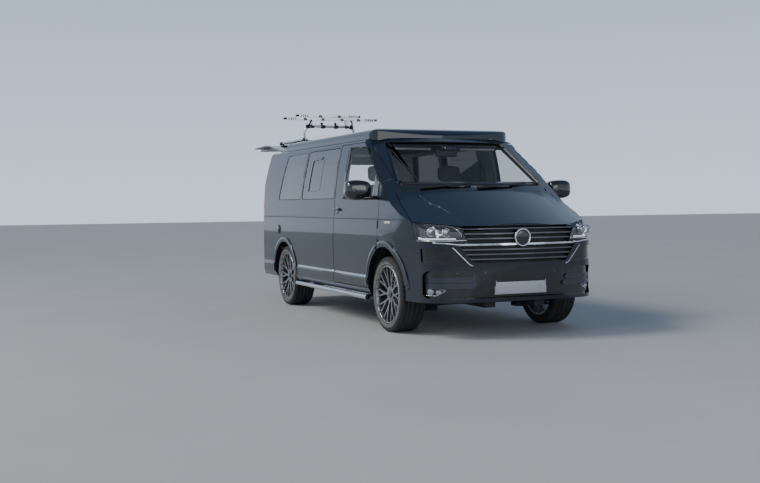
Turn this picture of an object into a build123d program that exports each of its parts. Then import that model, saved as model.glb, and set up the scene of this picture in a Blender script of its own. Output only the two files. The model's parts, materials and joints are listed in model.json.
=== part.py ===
from build123d import *
from math import cos, hypot, radians, sin, sqrt
import os

os.makedirs("parts", exist_ok=True)

# Overall sizes in millimetres: +X points forward, +Y to the left, +Z up from the ground
wheelbase = 3000
front_axle_x = 2090
rear_axle_x = front_axle_x - wheelbase
front_overhang = 908
rear_overhang = 990
nose_x = front_axle_x + front_overhang
tail_x = rear_axle_x - rear_overhang
half_width = 952
sill_z = 320
ledge_z = 500
swage_z = 1046
belt_z = 1240
roof_side_z = 1827
roof_z = 1850

# Panels
wall = 45
pane = 5
pane_inset = 3
seam = 6
rear_seam = 9
seat_gap = 0.3

# Windscreen and bonnet surfaces, both crowned across the car
screen_top_x = front_axle_x - 600
screen_top_z = 1815
screen_rake = 34.5
screen_radius = 3200
pillar_rise = 25
bonnet_rear_x = front_axle_x + 155
bonnet_rear_z = 1318
bonnet_rake = 24
bonnet_radius = 3200

# Cab door
door_front_x = front_axle_x - 165
door_rear_x = front_axle_x - 1341
door_bottom_z = 385
door_top_z = 1796
door_hinge_lean = 2
door_inner_y = 775

# Wheels
tyre_radius = 350
tyre_width = 248
wheel_y = 802
kingpin_y = 770
front_arch_z = 390
front_arch_radius = 402
rear_arch_z = 355
rear_arch_radius = 397
liner = 8

# Tailgate
gate_bottom_z = 620
gate_half_width = 712
gate_open_angle = 88
gate_hinge_x = tail_x + 158
gate_hinge_z = roof_z + 2
gate_inner_half = 610
gate_skin = 12
strut_lane = 640
strut_radius = 11
rod_radius = 5
strut_pin = 6
strut_foot_x = tail_x + 62
strut_foot_z = 1240
strut_eye_x = gate_hinge_x + 10
strut_eye_z = gate_hinge_z - 200

# Raising roof
pop_front_x = front_axle_x - 650
pop_length = 2800
pop_rear_x = pop_front_x - pop_length
pop_half_width = 776
pop_wall = 26
hatch_half_width = 610
roof_half_width = 775

# Door hinges stand at the outermost skin, so no edge swings into the wing
hinge_radius = 6
hinge_pin = 2.5
hinge_y = half_width
hinge_z = 780
hinge_heights = ((hinge_z + 2, hinge_z + 80), (hinge_z + 176, hinge_z + 254))
hinge_plate = 14

# Bonnet hinges lie just under the skin at the rear corners
bonnet_hinge_x = front_axle_x - 5
bonnet_hinge_y = 790
bonnet_hinge_z = 1302
bonnet_barrel = 7
bonnet_pin = 3.5
bonnet_sleeve = 16


def prism(plane, points, depth, corner=0):
    """A closed outline drawn on a plane and pushed along its normal."""
    with BuildPart() as block:
        with BuildSketch(plane) as outline:
            with BuildLine():
                Polyline(*points, close=True)
            make_face()
            if corner:
                fillet(outline.vertices(), corner)
        extrude(amount=depth)
    return block.part


def side_prism(points, y_low, y_high, corner=0):
    """Points are x and z."""
    return prism(Plane.XZ.offset(-y_high), points, y_high - y_low, corner)


def front_prism(points, x_low, x_high, corner=0):
    """Points are y and z."""
    return prism(Plane.YZ.offset(x_low), points, x_high - x_low, corner)


def plan_prism(points, z_low, z_high, corner=0):
    """Points are x and y."""
    return prism(Plane.XY.offset(z_low), points, z_high - z_low, corner)


def block(x_low, x_high, y_low, y_high, z_low, z_high):
    corners = [(x_low, y_low), (x_high, y_low), (x_high, y_high), (x_low, y_high)]
    return plan_prism(corners, z_low, z_high)


def tube(start, direction, radius, length, bore=0):
    """A round bar from a start point, hollow when it has a bore."""
    with BuildPart() as bar:
        with BuildSketch(Plane(origin=start, z_dir=direction)):
            Circle(radius)
            if bore:
                Circle(bore, mode=Mode.SUBTRACT)
        extrude(amount=length)
    return bar.part


def above(x, z, rake, radius, inset, raised=0):
    """The space above a raked surface that is crowned across the car."""
    along = (cos(radians(rake)), 0, -sin(radians(rake)))
    reach_back = 1300
    reach_front = 2400
    half = 1150
    top = 1600
    arc = radius - inset
    edge = raised - radius + sqrt(arc * arc - half * half)
    with BuildPart() as space:
        with BuildSketch(Plane(origin=(x, 0, z), x_dir=(0, 1, 0), z_dir=along).offset(-reach_back)):
            with BuildLine():
                ThreePointArc((-half, edge), (0, raised - inset), (half, edge))
                Polyline((half, edge), (half, top), (-half, top), (-half, edge))
            make_face()
        extrude(amount=reach_back + reach_front)
    return space.part


def body_form(inset=0, bottom=sill_z):
    """The closed outer form of the body, or one set in by a wall thickness."""
    i = inset
    with BuildPart() as form:
        with BuildSketch(Plane.YZ.offset(tail_x - 50)):
            with BuildLine():
                Polyline(
                    (0, bottom),
                    (half_width - 47 - i, bottom),
                    (half_width - 12 - i, sill_z + 60),
                    (half_width - i, ledge_z - 30),
                    (half_width - 11 - i, ledge_z),
                )
                ThreePointArc(
                    (half_width - 11 - i, ledge_z),
                    (half_width - 4 - i, (ledge_z + swage_z) / 2),
                    (half_width - 11 - i, swage_z),
                )
                Polyline(
                    (half_width - 11 - i, swage_z),
                    (half_width - 21 - i, swage_z + 16),
                    (half_width - 30 - i, belt_z),
                )
                ThreePointArc(
                    (half_width - 30 - i, belt_z),
                    (half_width - 66 - i, belt_z + 280),
                    (half_width - 120 - i, roof_side_z - 47 - 0.8 * i),
                )
                ThreePointArc(
                    (half_width - 120 - i, roof_side_z - 47 - 0.8 * i),
                    (half_width - 137 - 0.9 * i, roof_side_z - 13 - 0.9 * i),
                    (half_width - 177 - 0.8 * i, roof_side_z - i),
                )
                ThreePointArc(
                    (half_width - 177 - 0.8 * i, roof_side_z - i),
                    (400, roof_z - 6 - i),
                    (0, roof_z - i),
                )
                mirror(about=Plane.YZ)
            make_face()
        extrude(amount=nose_x - tail_x + 100)
        with BuildSketch(Plane.XY.offset(bottom - 10)) as plan:
            side = half_width + 5 - i
            tail = tail_x + i
            taper = front_axle_x + 200
            corner = (front_axle_x + 740 - i, half_width - 114 - i)
            with BuildLine():
                ThreePointArc((tail + 25, side), (tail, 0), (tail + 25, -side))
                Polyline((tail + 25, side), (taper, side), corner)
                Polyline((tail + 25, -side), (taper, -side), (corner[0], -corner[1]))
                ThreePointArc(corner, (nose_x - i, 0), (corner[0], -corner[1]))
            make_face()
            fillet(plan.vertices().group_by(Axis.X)[0], 190 - i)
            fillet(plan.vertices().group_by(Axis.X)[-1], 260 - i)
        extrude(amount=1700, mode=Mode.INTERSECT)
        with BuildSketch(Plane.XZ):
            top = roof_z + 60
            with BuildLine():
                Polyline(
                    (nose_x - 48 - i, 1010),
                    (nose_x - 48 - i, top),
                    (screen_top_x + 100, top),
                    (screen_top_x + 30, screen_top_z + 22 - i),
                )
                ThreePointArc(
                    (screen_top_x + 30, screen_top_z + 22 - i),
                    (rear_axle_x + 1000, roof_z - i),
                    (tail_x + 150 + i, roof_z - 12 - i),
                )
                Polyline(
                    (tail_x + 150 + i, roof_z - 12 - i),
                    (tail_x + 25 + i, belt_z),
                    (tail_x + i, 1000),
                    (tail_x + i, 600),
                    (tail_x + 40 + i, bottom - 5),
                    (nose_x - 60 - i, bottom - 5),
                )
                ThreePointArc(
                    (nose_x - 60 - i, bottom - 5),
                    (nose_x - i, 640),
                    (nose_x - 48 - i, 1010),
                )
            make_face()
        extrude(amount=1100, both=True, mode=Mode.INTERSECT)
        screen = above(screen_top_x, screen_top_z, screen_rake, screen_radius, i, pillar_rise)
        bonnet_space = above(bonnet_rear_x, bonnet_rear_z, bonnet_rake, bonnet_radius, i)
        add(screen & bonnet_space, mode=Mode.SUBTRACT)
    return form.part


def both(piece):
    """A piece with its mirror image on the other side of the car."""
    return piece + mirror(piece, about=Plane.XZ)


def write(piece, label):
    piece.part.label = label
    export_step(piece.part, f"parts/{label}.step")


outer = body_form(0)
inner = body_form(wall, sill_z - 70)
shell = outer - inner

# Outlines of openings and panels
pillar_slope = 0.808
door_outline = [
    (door_rear_x, door_bottom_z),
    (door_front_x, door_bottom_z),
    (door_front_x, door_top_z - (door_front_x - (front_axle_x - 625)) * pillar_slope),
    (front_axle_x - 625, door_top_z),
    (door_rear_x + 4, door_top_z),
]
door_glass_outline = [
    (door_rear_x + 231, belt_z + 8),
    (door_front_x - 42, belt_z + 8),
    (door_front_x - 42, door_top_z - 40 - (door_front_x - 42 - (front_axle_x - 632)) * pillar_slope),
    (front_axle_x - 650, door_top_z - 42),
    (door_rear_x + 222, door_top_z - 36),
]


def middle_glass_outline(side):
    """The left pane sits inside the sliding door, the right one in the fixed side."""
    front_margin, rear_margin = (92, 42) if side > 0 else (rear_seam + 24, 0)
    return [
        (door_rear_x - front_margin, belt_z + 6),
        (door_rear_x - front_margin - 8, door_top_z - 20),
        (rear_axle_x + 641 + rear_margin, door_top_z - 20),
        (rear_axle_x + 570 + rear_margin, belt_z + 6),
    ]


rear_glass_outline = [
    (rear_axle_x + 530, belt_z + 6),
    (rear_axle_x + 601, door_top_z - 24),
    (rear_axle_x - 121, door_top_z - 34),
    (rear_axle_x - 290, belt_z + 6),
]
screen_half_bottom = 785
screen_half_top = 648
screen_bottom_z = 1350
screen_outline = [
    (-screen_half_bottom, screen_bottom_z),
    (screen_half_bottom, screen_bottom_z),
    (screen_half_top, screen_top_z - 14),
    (-screen_half_top, screen_top_z - 14),
]
bonnet_outline_half = [
    (front_axle_x, 822),
    (front_axle_x + 490, 886),
    (front_axle_x + 500, 980),
    (nose_x + 60, 980),
]


def bonnet_region(gap):
    """The bonnet in plan: an arched rear edge, side seams and the whole nose ahead."""
    with BuildPart() as region:
        with BuildSketch(Plane.XY.offset(900)):
            with BuildLine():
                edge = [(x + gap, y - gap) for x, y in bonnet_outline_half]
                rear_centre = bonnet_rear_x + 55 + gap
                ThreePointArc((rear_centre, 0), (front_axle_x + 158 + gap, 420), edge[0])
                Polyline(*edge, (nose_x + 60 + gap, 0), (rear_centre, 0))
            make_face()
        extrude(amount=500)
        edge = [(0, 988), (560, 990), (905, 1026), (1000, 1030), (1000, 1500), (0, 1500)]
        edge = [(y, z + (gap if z < 1200 else 0)) for y, z in edge]
        add(front_prism(edge, front_axle_x - 200, nose_x + 100), mode=Mode.INTERSECT)
        mirror(about=Plane.XZ)
    return region.part


def arch(x, z, radius, y_low, y_high):
    with BuildPart() as opening:
        with BuildSketch(Plane.XZ.offset(-y_high)):
            with Locations((x, z)):
                Circle(radius)
            with Locations((x, z - radius)):
                Rectangle(2 * radius, 2 * radius)
        extrude(amount=y_high - y_low)
    return opening.part


far = 1200
arches = both(
    arch(front_axle_x, front_arch_z, front_arch_radius, 400, far)
    + arch(rear_axle_x, rear_arch_z, rear_arch_radius, 560, far)
)
door_region = both(side_prism(door_outline, door_inner_y, far))
door_hole_outline = [
    (door_rear_x - rear_seam, door_bottom_z - seam),
    (door_front_x + seam, door_bottom_z - seam),
    (door_front_x + seam, door_outline[2][1] + seam),
    (front_axle_x - 625 + seam, door_top_z + seam),
    (door_rear_x - rear_seam, door_top_z + seam),
]
door_hole = both(side_prism(door_hole_outline, door_inner_y - seam, far))
gate_outline = [
    (-gate_half_width, gate_bottom_z),
    (gate_half_width, gate_bottom_z),
    (gate_half_width - 52, roof_z + 30),
    (-gate_half_width + 52, roof_z + 30),
]
gate_region = front_prism(gate_outline, tail_x - 60, gate_hinge_x - 4, 60)
gate_hole_outline = [
    (-gate_half_width - 8, gate_bottom_z - 8),
    (gate_half_width + 8, gate_bottom_z - 8),
    (gate_half_width - 44, roof_z + 30),
    (-gate_half_width + 44, roof_z + 30),
]
gate_hole = front_prism(gate_hole_outline, tail_x - 60, gate_hinge_x + 4, 64)
headlamp_front = [(518, 869), (578, 989), (905, 1025), (990, 1029), (990, 858)]
headlamp_side = [
    (front_axle_x + 485, 1035),
    (front_axle_x + 545, 850),
    (nose_x + 50, 850),
    (nose_x + 50, 1035),
]
headlamp_region = front_prism(headlamp_front, front_axle_x + 400, nose_x + 50) & side_prism(
    headlamp_side, 400, 1100
)
upper_grille = front_prism(
    [(-508, 836), (508, 836), (516, 869), (572, 981), (-572, 981), (-516, 869)],
    front_axle_x + 500,
    nose_x + 50,
)
lower_grille = front_prism(
    [(-470, 668), (470, 668), (600, 836), (-600, 836)], front_axle_x + 500, nose_x + 50
)
bumper_side = [
    (front_axle_x + 380, sill_z - 20),
    (nose_x + 50, sill_z - 20),
    (nose_x + 50, 858),
    (front_axle_x + 542, 858),
    (front_axle_x + 380, 640),
]
bumper_region = side_prism(bumper_side, -1100, 1100)
wing_side = [
    (door_front_x, sill_z - 20),
    (nose_x + 50, sill_z - 20),
    (nose_x + 50, 1060),
    (door_front_x + 300, 1296),
    (door_front_x, belt_z + 4),
]
wing_region = side_prism(wing_side, -1100, 1100)
cowl_region = plan_prism(
    [
        (front_axle_x - 150, -808),
        (bonnet_rear_x + 60, -808),
        (bonnet_rear_x + 60, 808),
        (front_axle_x - 150, 808),
    ],
    1150,
    screen_bottom_z + 40,
)
screen_region = front_prism(screen_outline, screen_top_x - 250, nose_x, 46)

# Raised forms on the shell: flares round the arches and a field on the bonnet
flare_wide = 62
flare_narrow = 30
flare_height = 5
door_swing_low = door_front_x - 13
door_swing_high = door_front_x + 19
flares = Part()
for width, height in ((flare_wide, flare_height), (flare_narrow, 2 * flare_height)):
    layer = body_form(-height) - body_form(20)
    for x, z, radius in (
        (front_axle_x, front_arch_z, front_arch_radius),
        (rear_axle_x, rear_arch_z, rear_arch_radius),
    ):
        ring = arch(x, z, radius + width, 700, far) - arch(x, z, radius - 1, 700, far)
        flares = flares + (layer & ring & block(-4000, 4000, 0, far, ledge_z - 40, 1200))
flares = flares - block(door_swing_low, door_swing_high, 0, far, 0, 1400)
field_height = 6
field_outline = [
    (bonnet_rear_x - 30, 642),
    (front_axle_x + 295, 620),
    (front_axle_x + 400, 566),
    (front_axle_x + 560, 532),
    (nose_x + 60, 522),
]
field_plan = field_outline + [(x, -y) for x, y in reversed(field_outline)]
field_region = plan_prism(field_plan, 980, 1500)
bonnet_field = (body_form(-field_height) - body_form(20)) & field_region

# Split the shell into its panels, each piece taken from what the others left
rest = shell + both(flares) - arches
door_shell = rest & door_region
rest = rest - door_hole
gate_shell = rest & gate_region
rest = rest - gate_hole
bonnet_shell = (rest + bonnet_field) & bonnet_region(0)
rest = rest - bonnet_region(-seam)
headlamp_shell = rest & both(headlamp_region)
rest = rest - both(headlamp_region)
rest = rest - upper_grille
rest = rest - lower_grille
bumper_shell = rest & bumper_region
rest = rest - bumper_region
rest = rest - screen_region
cowl_shell = rest & cowl_region
rest = rest - cowl_region
wing_shell = rest & wing_region
rest = rest - wing_region

roof_region = block(
    gate_hinge_x - 200, screen_top_x + 100, -roof_half_width, roof_half_width, roof_side_z - 80, roof_z + 20
)
hatch_rear_x = pop_rear_x + 260
hatch_front_x = pop_front_x - 230
hatch = block(hatch_rear_x, hatch_front_x, -hatch_half_width, hatch_half_width, 1500, 2100)
roof_shell = (rest & roof_region) - hatch
rest = rest - roof_region
sliding_door_outline = [
    (door_rear_x - 60, door_bottom_z),
    (door_rear_x - 60, door_top_z),
    (rear_axle_x + 623, door_top_z),
    (rear_axle_x + 552, belt_z),
    (rear_axle_x + 552, door_bottom_z),
]
sliding_region = side_prism(sliding_door_outline, door_inner_y, far)
sliding_shell = rest & sliding_region
rest = rest - sliding_region
rear_bumper_side = [
    (tail_x - 50, sill_z - 20),
    (tail_x - 50, gate_bottom_z - 8),
    (rear_axle_x - 420, gate_bottom_z - 8),
    (rear_axle_x - 380, sill_z - 20),
]
rear_bumper_region = side_prism(rear_bumper_side, -far, far)
rear_bumper_shell = rest & rear_bumper_region
rest = rest - rear_bumper_region
tail_lamp_rear = [
    (gate_half_width + 60, 960),
    (half_width + 20, 960),
    (half_width + 20, 1270),
    (gate_half_width + 60, 1300),
]
tail_lamp_region = both(front_prism(tail_lamp_rear, tail_x - 50, tail_x + 120))
tail_lamp_shell = rest & tail_lamp_region
rest = rest - tail_lamp_region


lean = radians(door_hinge_lean)
hinge_axis = (0, -sin(lean), cos(lean))


def hinge_point(height):
    """A point of the left door's hinge axis, given its height."""
    return Vector(door_front_x + seam / 2, hinge_y - (height - hinge_z) * sin(lean), height)


def door_hinge(z_low, z_high, sleeve):
    """The knuckles with a pin on the wing, or the sleeve on the door."""
    third = (z_high - z_low) / 3
    foot = hinge_point(z_low)
    step = Vector(*hinge_axis)
    if sleeve:
        return tube(foot + step * (third + 1), hinge_axis, hinge_radius, third - 2, hinge_pin + seat_gap)
    low = tube(foot, hinge_axis, hinge_radius, third)
    high = tube(foot + step * 2 * third, hinge_axis, hinge_radius, third)
    return low + high + tube(foot, hinge_axis, hinge_pin, 3 * third)


def hinge_pocket(z_low, z_high, sleeve):
    """Room in the neighbour for the knuckles, or for the sleeve."""
    third = (z_high - z_low) / 3
    foot = hinge_point(z_low)
    step = Vector(*hinge_axis)
    radius = hinge_radius + 5
    if sleeve:
        return tube(foot + step * (third - 1), hinge_axis, radius, third + 2)
    low = tube(foot - step * 4, hinge_axis, radius, third + 5)
    return low + tube(foot + step * (2 * third - 1), hinge_axis, radius, third + 5)


header_relief = block(gate_hinge_x - 20, gate_hinge_x + 50, -690, 690, 1500, strut_eye_z + 40)
left_half = block(-4000, 4000, 0, 1100, 0, 2000)
right_half = block(-4000, 4000, -1100, 0, 0, 2000)
for side, half, name in ((1, left_half, "left"), (-1, right_half, "right")):
    with BuildPart() as side_panel:
        add(rest & half)
        middle = side_prism(middle_glass_outline(side), -1100, 1100, 40)
        rear = side_prism(rear_glass_outline, -1100, 1100, 40)
        add(middle + rear, mode=Mode.SUBTRACT)
        add(header_relief, mode=Mode.SUBTRACT)
        boss_start = (strut_foot_x, side * 730, strut_foot_z)
        add(tube(boss_start, (0, -side, 0), 12, 730 - strut_lane - strut_radius - 0.5))
        add(tube(boss_start, (0, -side, 0), strut_pin, 730 - strut_lane + strut_radius))
    write(side_panel, f"side_panel_{name}")

with BuildPart() as door_left:
    add(door_shell & left_half)
    add(side_prism(door_glass_outline, 0, 1100, 36), mode=Mode.SUBTRACT)
    for z_low, z_high in hinge_heights:
        add(hinge_pocket(z_low, z_high, False), mode=Mode.SUBTRACT)
        add(door_hinge(z_low, z_high, True))
write(door_left, "door_left")
with BuildPart() as door_right:
    mirror(door_left.part, about=Plane.XZ)
write(door_right, "door_right")

with BuildPart() as front_wings:
    add(wing_shell & left_half)
    for z_low, z_high in hinge_heights:
        plate_x = door_front_x + seam
        plate = block(plate_x, plate_x + hinge_plate, hinge_y - 27, hinge_y - 6, z_low, z_high)
        pin = tube(hinge_point(z_low), hinge_axis, hinge_pin, z_high - z_low)
        add(door_hinge(z_low, z_high, False) + plate)
        add(hinge_pocket(z_low, z_high, True) - pin, mode=Mode.SUBTRACT)
    mirror(about=Plane.XZ)
write(front_wings, "front_wings")


def opened(piece):
    """Swing a piece that was drawn closed up with the tailgate."""
    hinge = Axis((gate_hinge_x, 0, gate_hinge_z), (0, 1, 0))
    return piece.rotate(hinge, gate_open_angle)


gate_window = front_prism(
    [(-540, belt_z + 10), (540, belt_z + 10), (515, 1730), (-515, 1730)], tail_x - 60, tail_x + 300, 60
)
gate_channel = both(block(tail_x - 60, tail_x + 300, gate_inner_half, 800, 600, 1900))
skin_form = body_form(gate_skin)

hinge_ys = (-440, 440)


def gate_hinge(y, sleeve):
    across = (0, 1, 0)
    foot = (gate_hinge_x, y - 45, gate_hinge_z)
    if sleeve:
        barrel = tube((gate_hinge_x, y - 13, gate_hinge_z), across, 10, 26, 5 + seat_gap)
        strap_x = gate_hinge_x - 22
        strap = block(strap_x, gate_hinge_x - 4, y - 13, y + 13, gate_hinge_z - 110, gate_hinge_z + 4)
        return barrel + (strap - tube(foot, across, 5 + seat_gap, 90))
    low = tube(foot, across, 10, 28)
    high = tube((gate_hinge_x, y + 17, gate_hinge_z), across, 10, 28)
    pad_low = block(gate_hinge_x, gate_hinge_x + 50, y - 45, y - 17, gate_hinge_z - 24, gate_hinge_z + 4)
    pad_high = block(gate_hinge_x, gate_hinge_x + 50, y + 17, y + 45, gate_hinge_z - 24, gate_hinge_z + 4)
    return low + high + pad_low + pad_high + tube(foot, across, 5, 90)


with BuildPart() as tailgate:
    add(gate_shell)
    add(skin_form & gate_channel, mode=Mode.SUBTRACT)
    add(gate_window, mode=Mode.SUBTRACT)
    for y in hinge_ys:
        notch = block(gate_hinge_x - 70, gate_hinge_x + 20, y - 50, y + 50, gate_hinge_z - 40, 2000)
        add(notch, mode=Mode.SUBTRACT)
        add(gate_hinge(y, True))
    for side in (1, -1):
        near, out = sorted((side * (gate_inner_half - 22), side * (gate_inner_half + 4)))
        add(block(gate_hinge_x - 34, strut_eye_x + 10, near, out, strut_eye_z - 14, strut_eye_z + 14))
        stud = tube((strut_eye_x, side * (gate_inner_half - 20), strut_eye_z), (0, side, 0), 8,
                    20 + strut_lane - strut_radius - seat_gap - gate_inner_half)
        add(stud)
tailgate.part = opened(tailgate.part)
write(tailgate, "tailgate")

pop_hinge_x = pop_rear_x - 4
pop_hinge_z = roof_z + 8
pop_hinge_ys = (-500, 500)

with BuildPart() as roof_frame:
    add(roof_shell)
    for y in pop_hinge_ys:
        for near in (y - 42, y + 22):
            add(block(pop_hinge_x - 8, pop_hinge_x + 6, near, near + 20, roof_z - 30, pop_hinge_z + 6))
        add(tube((pop_hinge_x, y - 42, pop_hinge_z), (0, 1, 0), 4, 84))
    for y in hinge_ys:
        add(gate_hinge(y, False))
write(roof_frame, "roof_frame")

bonnet_hinge_foot = (bonnet_hinge_x, bonnet_hinge_y - bonnet_sleeve / 2, bonnet_hinge_z)
with BuildPart() as bonnet:
    add(bonnet_shell)
    web = block(
        bonnet_hinge_x,
        bonnet_hinge_x + 28,
        bonnet_hinge_y - bonnet_sleeve / 2,
        bonnet_hinge_y + bonnet_sleeve / 2,
        bonnet_hinge_z - 16,
        bonnet_hinge_z - 4,
    )
    barrel = web + tube(bonnet_hinge_foot, (0, 1, 0), bonnet_barrel, bonnet_sleeve)
    bore = tube(bonnet_hinge_foot, (0, 1, 0), bonnet_pin + seat_gap, bonnet_sleeve)
    add(both(barrel - bore))
write(bonnet, "bonnet")

with BuildPart() as cowl:
    add(cowl_shell)
    slot = block(
        bonnet_hinge_x - bonnet_barrel - 6,
        bonnet_hinge_x + 60,
        bonnet_hinge_y - bonnet_sleeve / 2 - 5,
        bonnet_hinge_y + bonnet_sleeve / 2 + 5,
        bonnet_hinge_z - 20,
        bonnet_hinge_z + 60,
    )
    add(both(slot), mode=Mode.SUBTRACT)
    pin_start = (bonnet_hinge_x, bonnet_hinge_y - 18, bonnet_hinge_z)
    add(both(tube(pin_start, (0, 1, 0), bonnet_pin, 36)))
write(cowl, "cowl")

# The front bumper's dark fields: a pocket at each side and a wide recess below
pocket_depth = 16
recess_depth = 30
panel_thickness = 6
slat_height = 20
nose_start = front_axle_x + 400
pocket_outline = [(517, 651), (655, 790), (865, 794), (861, 676)]
recess_half = 857
recess_low = 352
recess_high = 608
recess_outline = [
    (-recess_half, recess_low),
    (recess_half, recess_low),
    (recess_half, recess_high),
    (-recess_half, recess_high),
]
pocket = front_prism(pocket_outline, nose_start, nose_x + 50)
recess = front_prism(recess_outline, nose_start, nose_x + 50, 55)
pocket_floor = body_form(pocket_depth)
recess_floor = body_form(recess_depth)
# Each slat: inner point, lower and upper edge
chevron_slats = ((465, 498, 541), (434, 445, 490))
plate_half_width = 262
plate_low = 386
plate_high = 516
plate_front_x = nose_x - 46
with BuildPart() as front_bumper:
    add(bumper_shell)
    add(both(pocket - pocket_floor), mode=Mode.SUBTRACT)
    add(recess - recess_floor, mode=Mode.SUBTRACT)
write(front_bumper, "front_bumper")
with BuildPart() as bumper_trims:
    pocket_panel = (body_form(pocket_depth - panel_thickness) - pocket_floor) & pocket
    add(both(pocket_panel & bumper_region))
    add((body_form(recess_depth - panel_thickness) - recess_floor) & recess & bumper_region)
    slat_layer = (body_form(recess_depth - slat_height) - recess_floor) & bumper_region
    slat_end = recess_half - 40
    for tip, low, high in chevron_slats:
        middle = (low + high) / 2
        points = [(tip, middle), (tip + 25, low), (slat_end, low), (slat_end, high), (tip + 25, high)]
        add(both(slat_layer & front_prism(points, nose_start, nose_x + 50)))
    plate = block(nose_x - 120, plate_front_x, -plate_half_width, plate_half_width, plate_low, plate_high)
    add(plate - recess_floor)
write(bumper_trims, "bumper_trims")

for label, piece in (("rear_bumper", rear_bumper_shell), ("tail_lamps", tail_lamp_shell)):
    with BuildPart() as panel:
        add(piece)
    write(panel, label)

# Glass, a thin layer of the form that fills each opening edge to edge
glass = body_form(pane_inset) - body_form(pane_inset + pane)
tailgate_window_part = opened(glass & gate_window & gate_region)
with BuildPart() as tailgate_window:
    add(tailgate_window_part)
write(tailgate_window, "tailgate_window")
with BuildPart() as side_windows:
    for side in (1, -1):
        y_low, y_high = sorted((side * 600, side * far))
        for outline in (middle_glass_outline(side), rear_glass_outline):
            add(glass & side_prism(outline, y_low, y_high, 40))
write(side_windows, "side_windows")
with BuildPart() as door_glass_left:
    add(glass & side_prism(door_glass_outline, 700, far, 36))
write(door_glass_left, "door_glass_left")
with BuildPart() as door_glass_right:
    mirror(door_glass_left.part, about=Plane.XZ)
write(door_glass_right, "door_glass_right")


def screen_layer(low, high):
    """The layer between two heights over the windscreen surface."""
    return above(screen_top_x, screen_top_z, screen_rake, screen_radius, 0, low) - above(
        screen_top_x, screen_top_z, screen_rake, screen_radius, 0, high
    )


with BuildPart() as windscreen:
    add(screen_layer(-pane, 0) & screen_region)
write(windscreen, "windscreen")

# Raising roof, closed over the hatch
def pop_form(inset):
    i = inset
    with BuildPart() as form:
        with BuildSketch(Plane.YZ.offset(pop_rear_x - 20)):
            with BuildLine():
                Polyline((0, 1700), (pop_half_width - i, 1700), (pop_half_width - i, 1872))
                ThreePointArc(
                    (pop_half_width - i, 1872),
                    (pop_half_width - 17 - i, 1906 - i / 2),
                    (pop_half_width - 66 - i, 1931 - i),
                )
                ThreePointArc((pop_half_width - 66 - i, 1931 - i), (380, 1961 - i), (0, 1970 - i))
                mirror(about=Plane.YZ)
            make_face()
        extrude(amount=pop_length + 40)
        with BuildSketch(Plane.XY.offset(1690)) as plan:
            with BuildLine():
                half = pop_half_width + 20 - i
                corner_x = pop_front_x - 50 - i
                ThreePointArc((corner_x, half), (pop_front_x - i, 0), (corner_x, -half))
                Polyline((corner_x, half), (pop_rear_x + i, half), (pop_rear_x + i, -half), (corner_x, -half))
            make_face()
            fillet(plan.vertices(), 130 - i)
        extrude(amount=300, mode=Mode.INTERSECT)
        with BuildSketch(Plane.XZ):
            brow = pop_front_x + 8 - i
            with BuildLine():
                Line((brow, 1700), (brow, 1860))
                ThreePointArc((brow, 1860), (brow - 50, 1912 - i / 2), (pop_front_x - 150, 1942 - i))
                ThreePointArc(
                    (pop_front_x - 150, 1942 - i),
                    (pop_front_x - 1200, 1970 - i),
                    (pop_rear_x + 180, 1928 - i),
                )
                ThreePointArc(
                    (pop_rear_x + 180, 1928 - i), (pop_rear_x + 60 + i, 1905 - i / 2), (pop_rear_x + i, 1855)
                )
                Polyline((pop_rear_x + i, 1855), (pop_rear_x + i, 1700), (brow, 1700))
            make_face()
        extrude(amount=1000, both=True, mode=Mode.INTERSECT)
    return form.part


pop_clearance = body_form(-5)
with BuildPart() as pop_top:
    add(pop_form(0))
    add(pop_form(pop_wall), mode=Mode.SUBTRACT)
    add(pop_clearance, mode=Mode.SUBTRACT)
    for y in pop_hinge_ys:
        room_below = block(pop_rear_x - 20, pop_hinge_x + 13, y - 47, y + 47, 1800, pop_hinge_z)
        room_around = tube((pop_hinge_x, y - 47, pop_hinge_z), (0, 1, 0), 13, 94)
        add(room_below + room_around, mode=Mode.SUBTRACT)
        add(block(pop_hinge_x, pop_rear_x + 20, y - 20, y + 20, pop_hinge_z - 8, pop_hinge_z + 8))
        add(tube((pop_hinge_x, y - 20, pop_hinge_z), (0, 1, 0), 8, 40))
        add(tube((pop_hinge_x, y - 20, pop_hinge_z), (0, 1, 0), 4 + seat_gap, 40), mode=Mode.SUBTRACT)
write(pop_top, "pop_top")

with BuildPart() as roof_canvas:
    for out, top, mode in ((50, 1886, Mode.ADD), (25, 1900, Mode.SUBTRACT)):
        half = hatch_half_width + out
        add(block(hatch_rear_x - out + 5, hatch_front_x + out - 5, -half, half, 1780, top), mode=mode)
    add(outer, mode=Mode.SUBTRACT)
write(roof_canvas, "roof_canvas")

# Floor with the wheel housings and the firewall
jack_places = (front_axle_x - 890, rear_axle_x + 610)
jack_y = 700
jack_z = sill_z - 20
room = body_form(wall + seam, sill_z - 70)
firewall_x = front_axle_x + 60
liner_inner_y = 474
rear_liner_inner_y = 640


def liner_shell(x, z, radius, inner_y):
    outside = arch(x, z, radius + 2 + liner, inner_y - liner, 930)
    inside = arch(x, z, radius + 2, inner_y, 1000)
    return outside - inside


def liner_room(x, z, radius, inner_y):
    return arch(x, z, radius + 2, inner_y, 1000)


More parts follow.
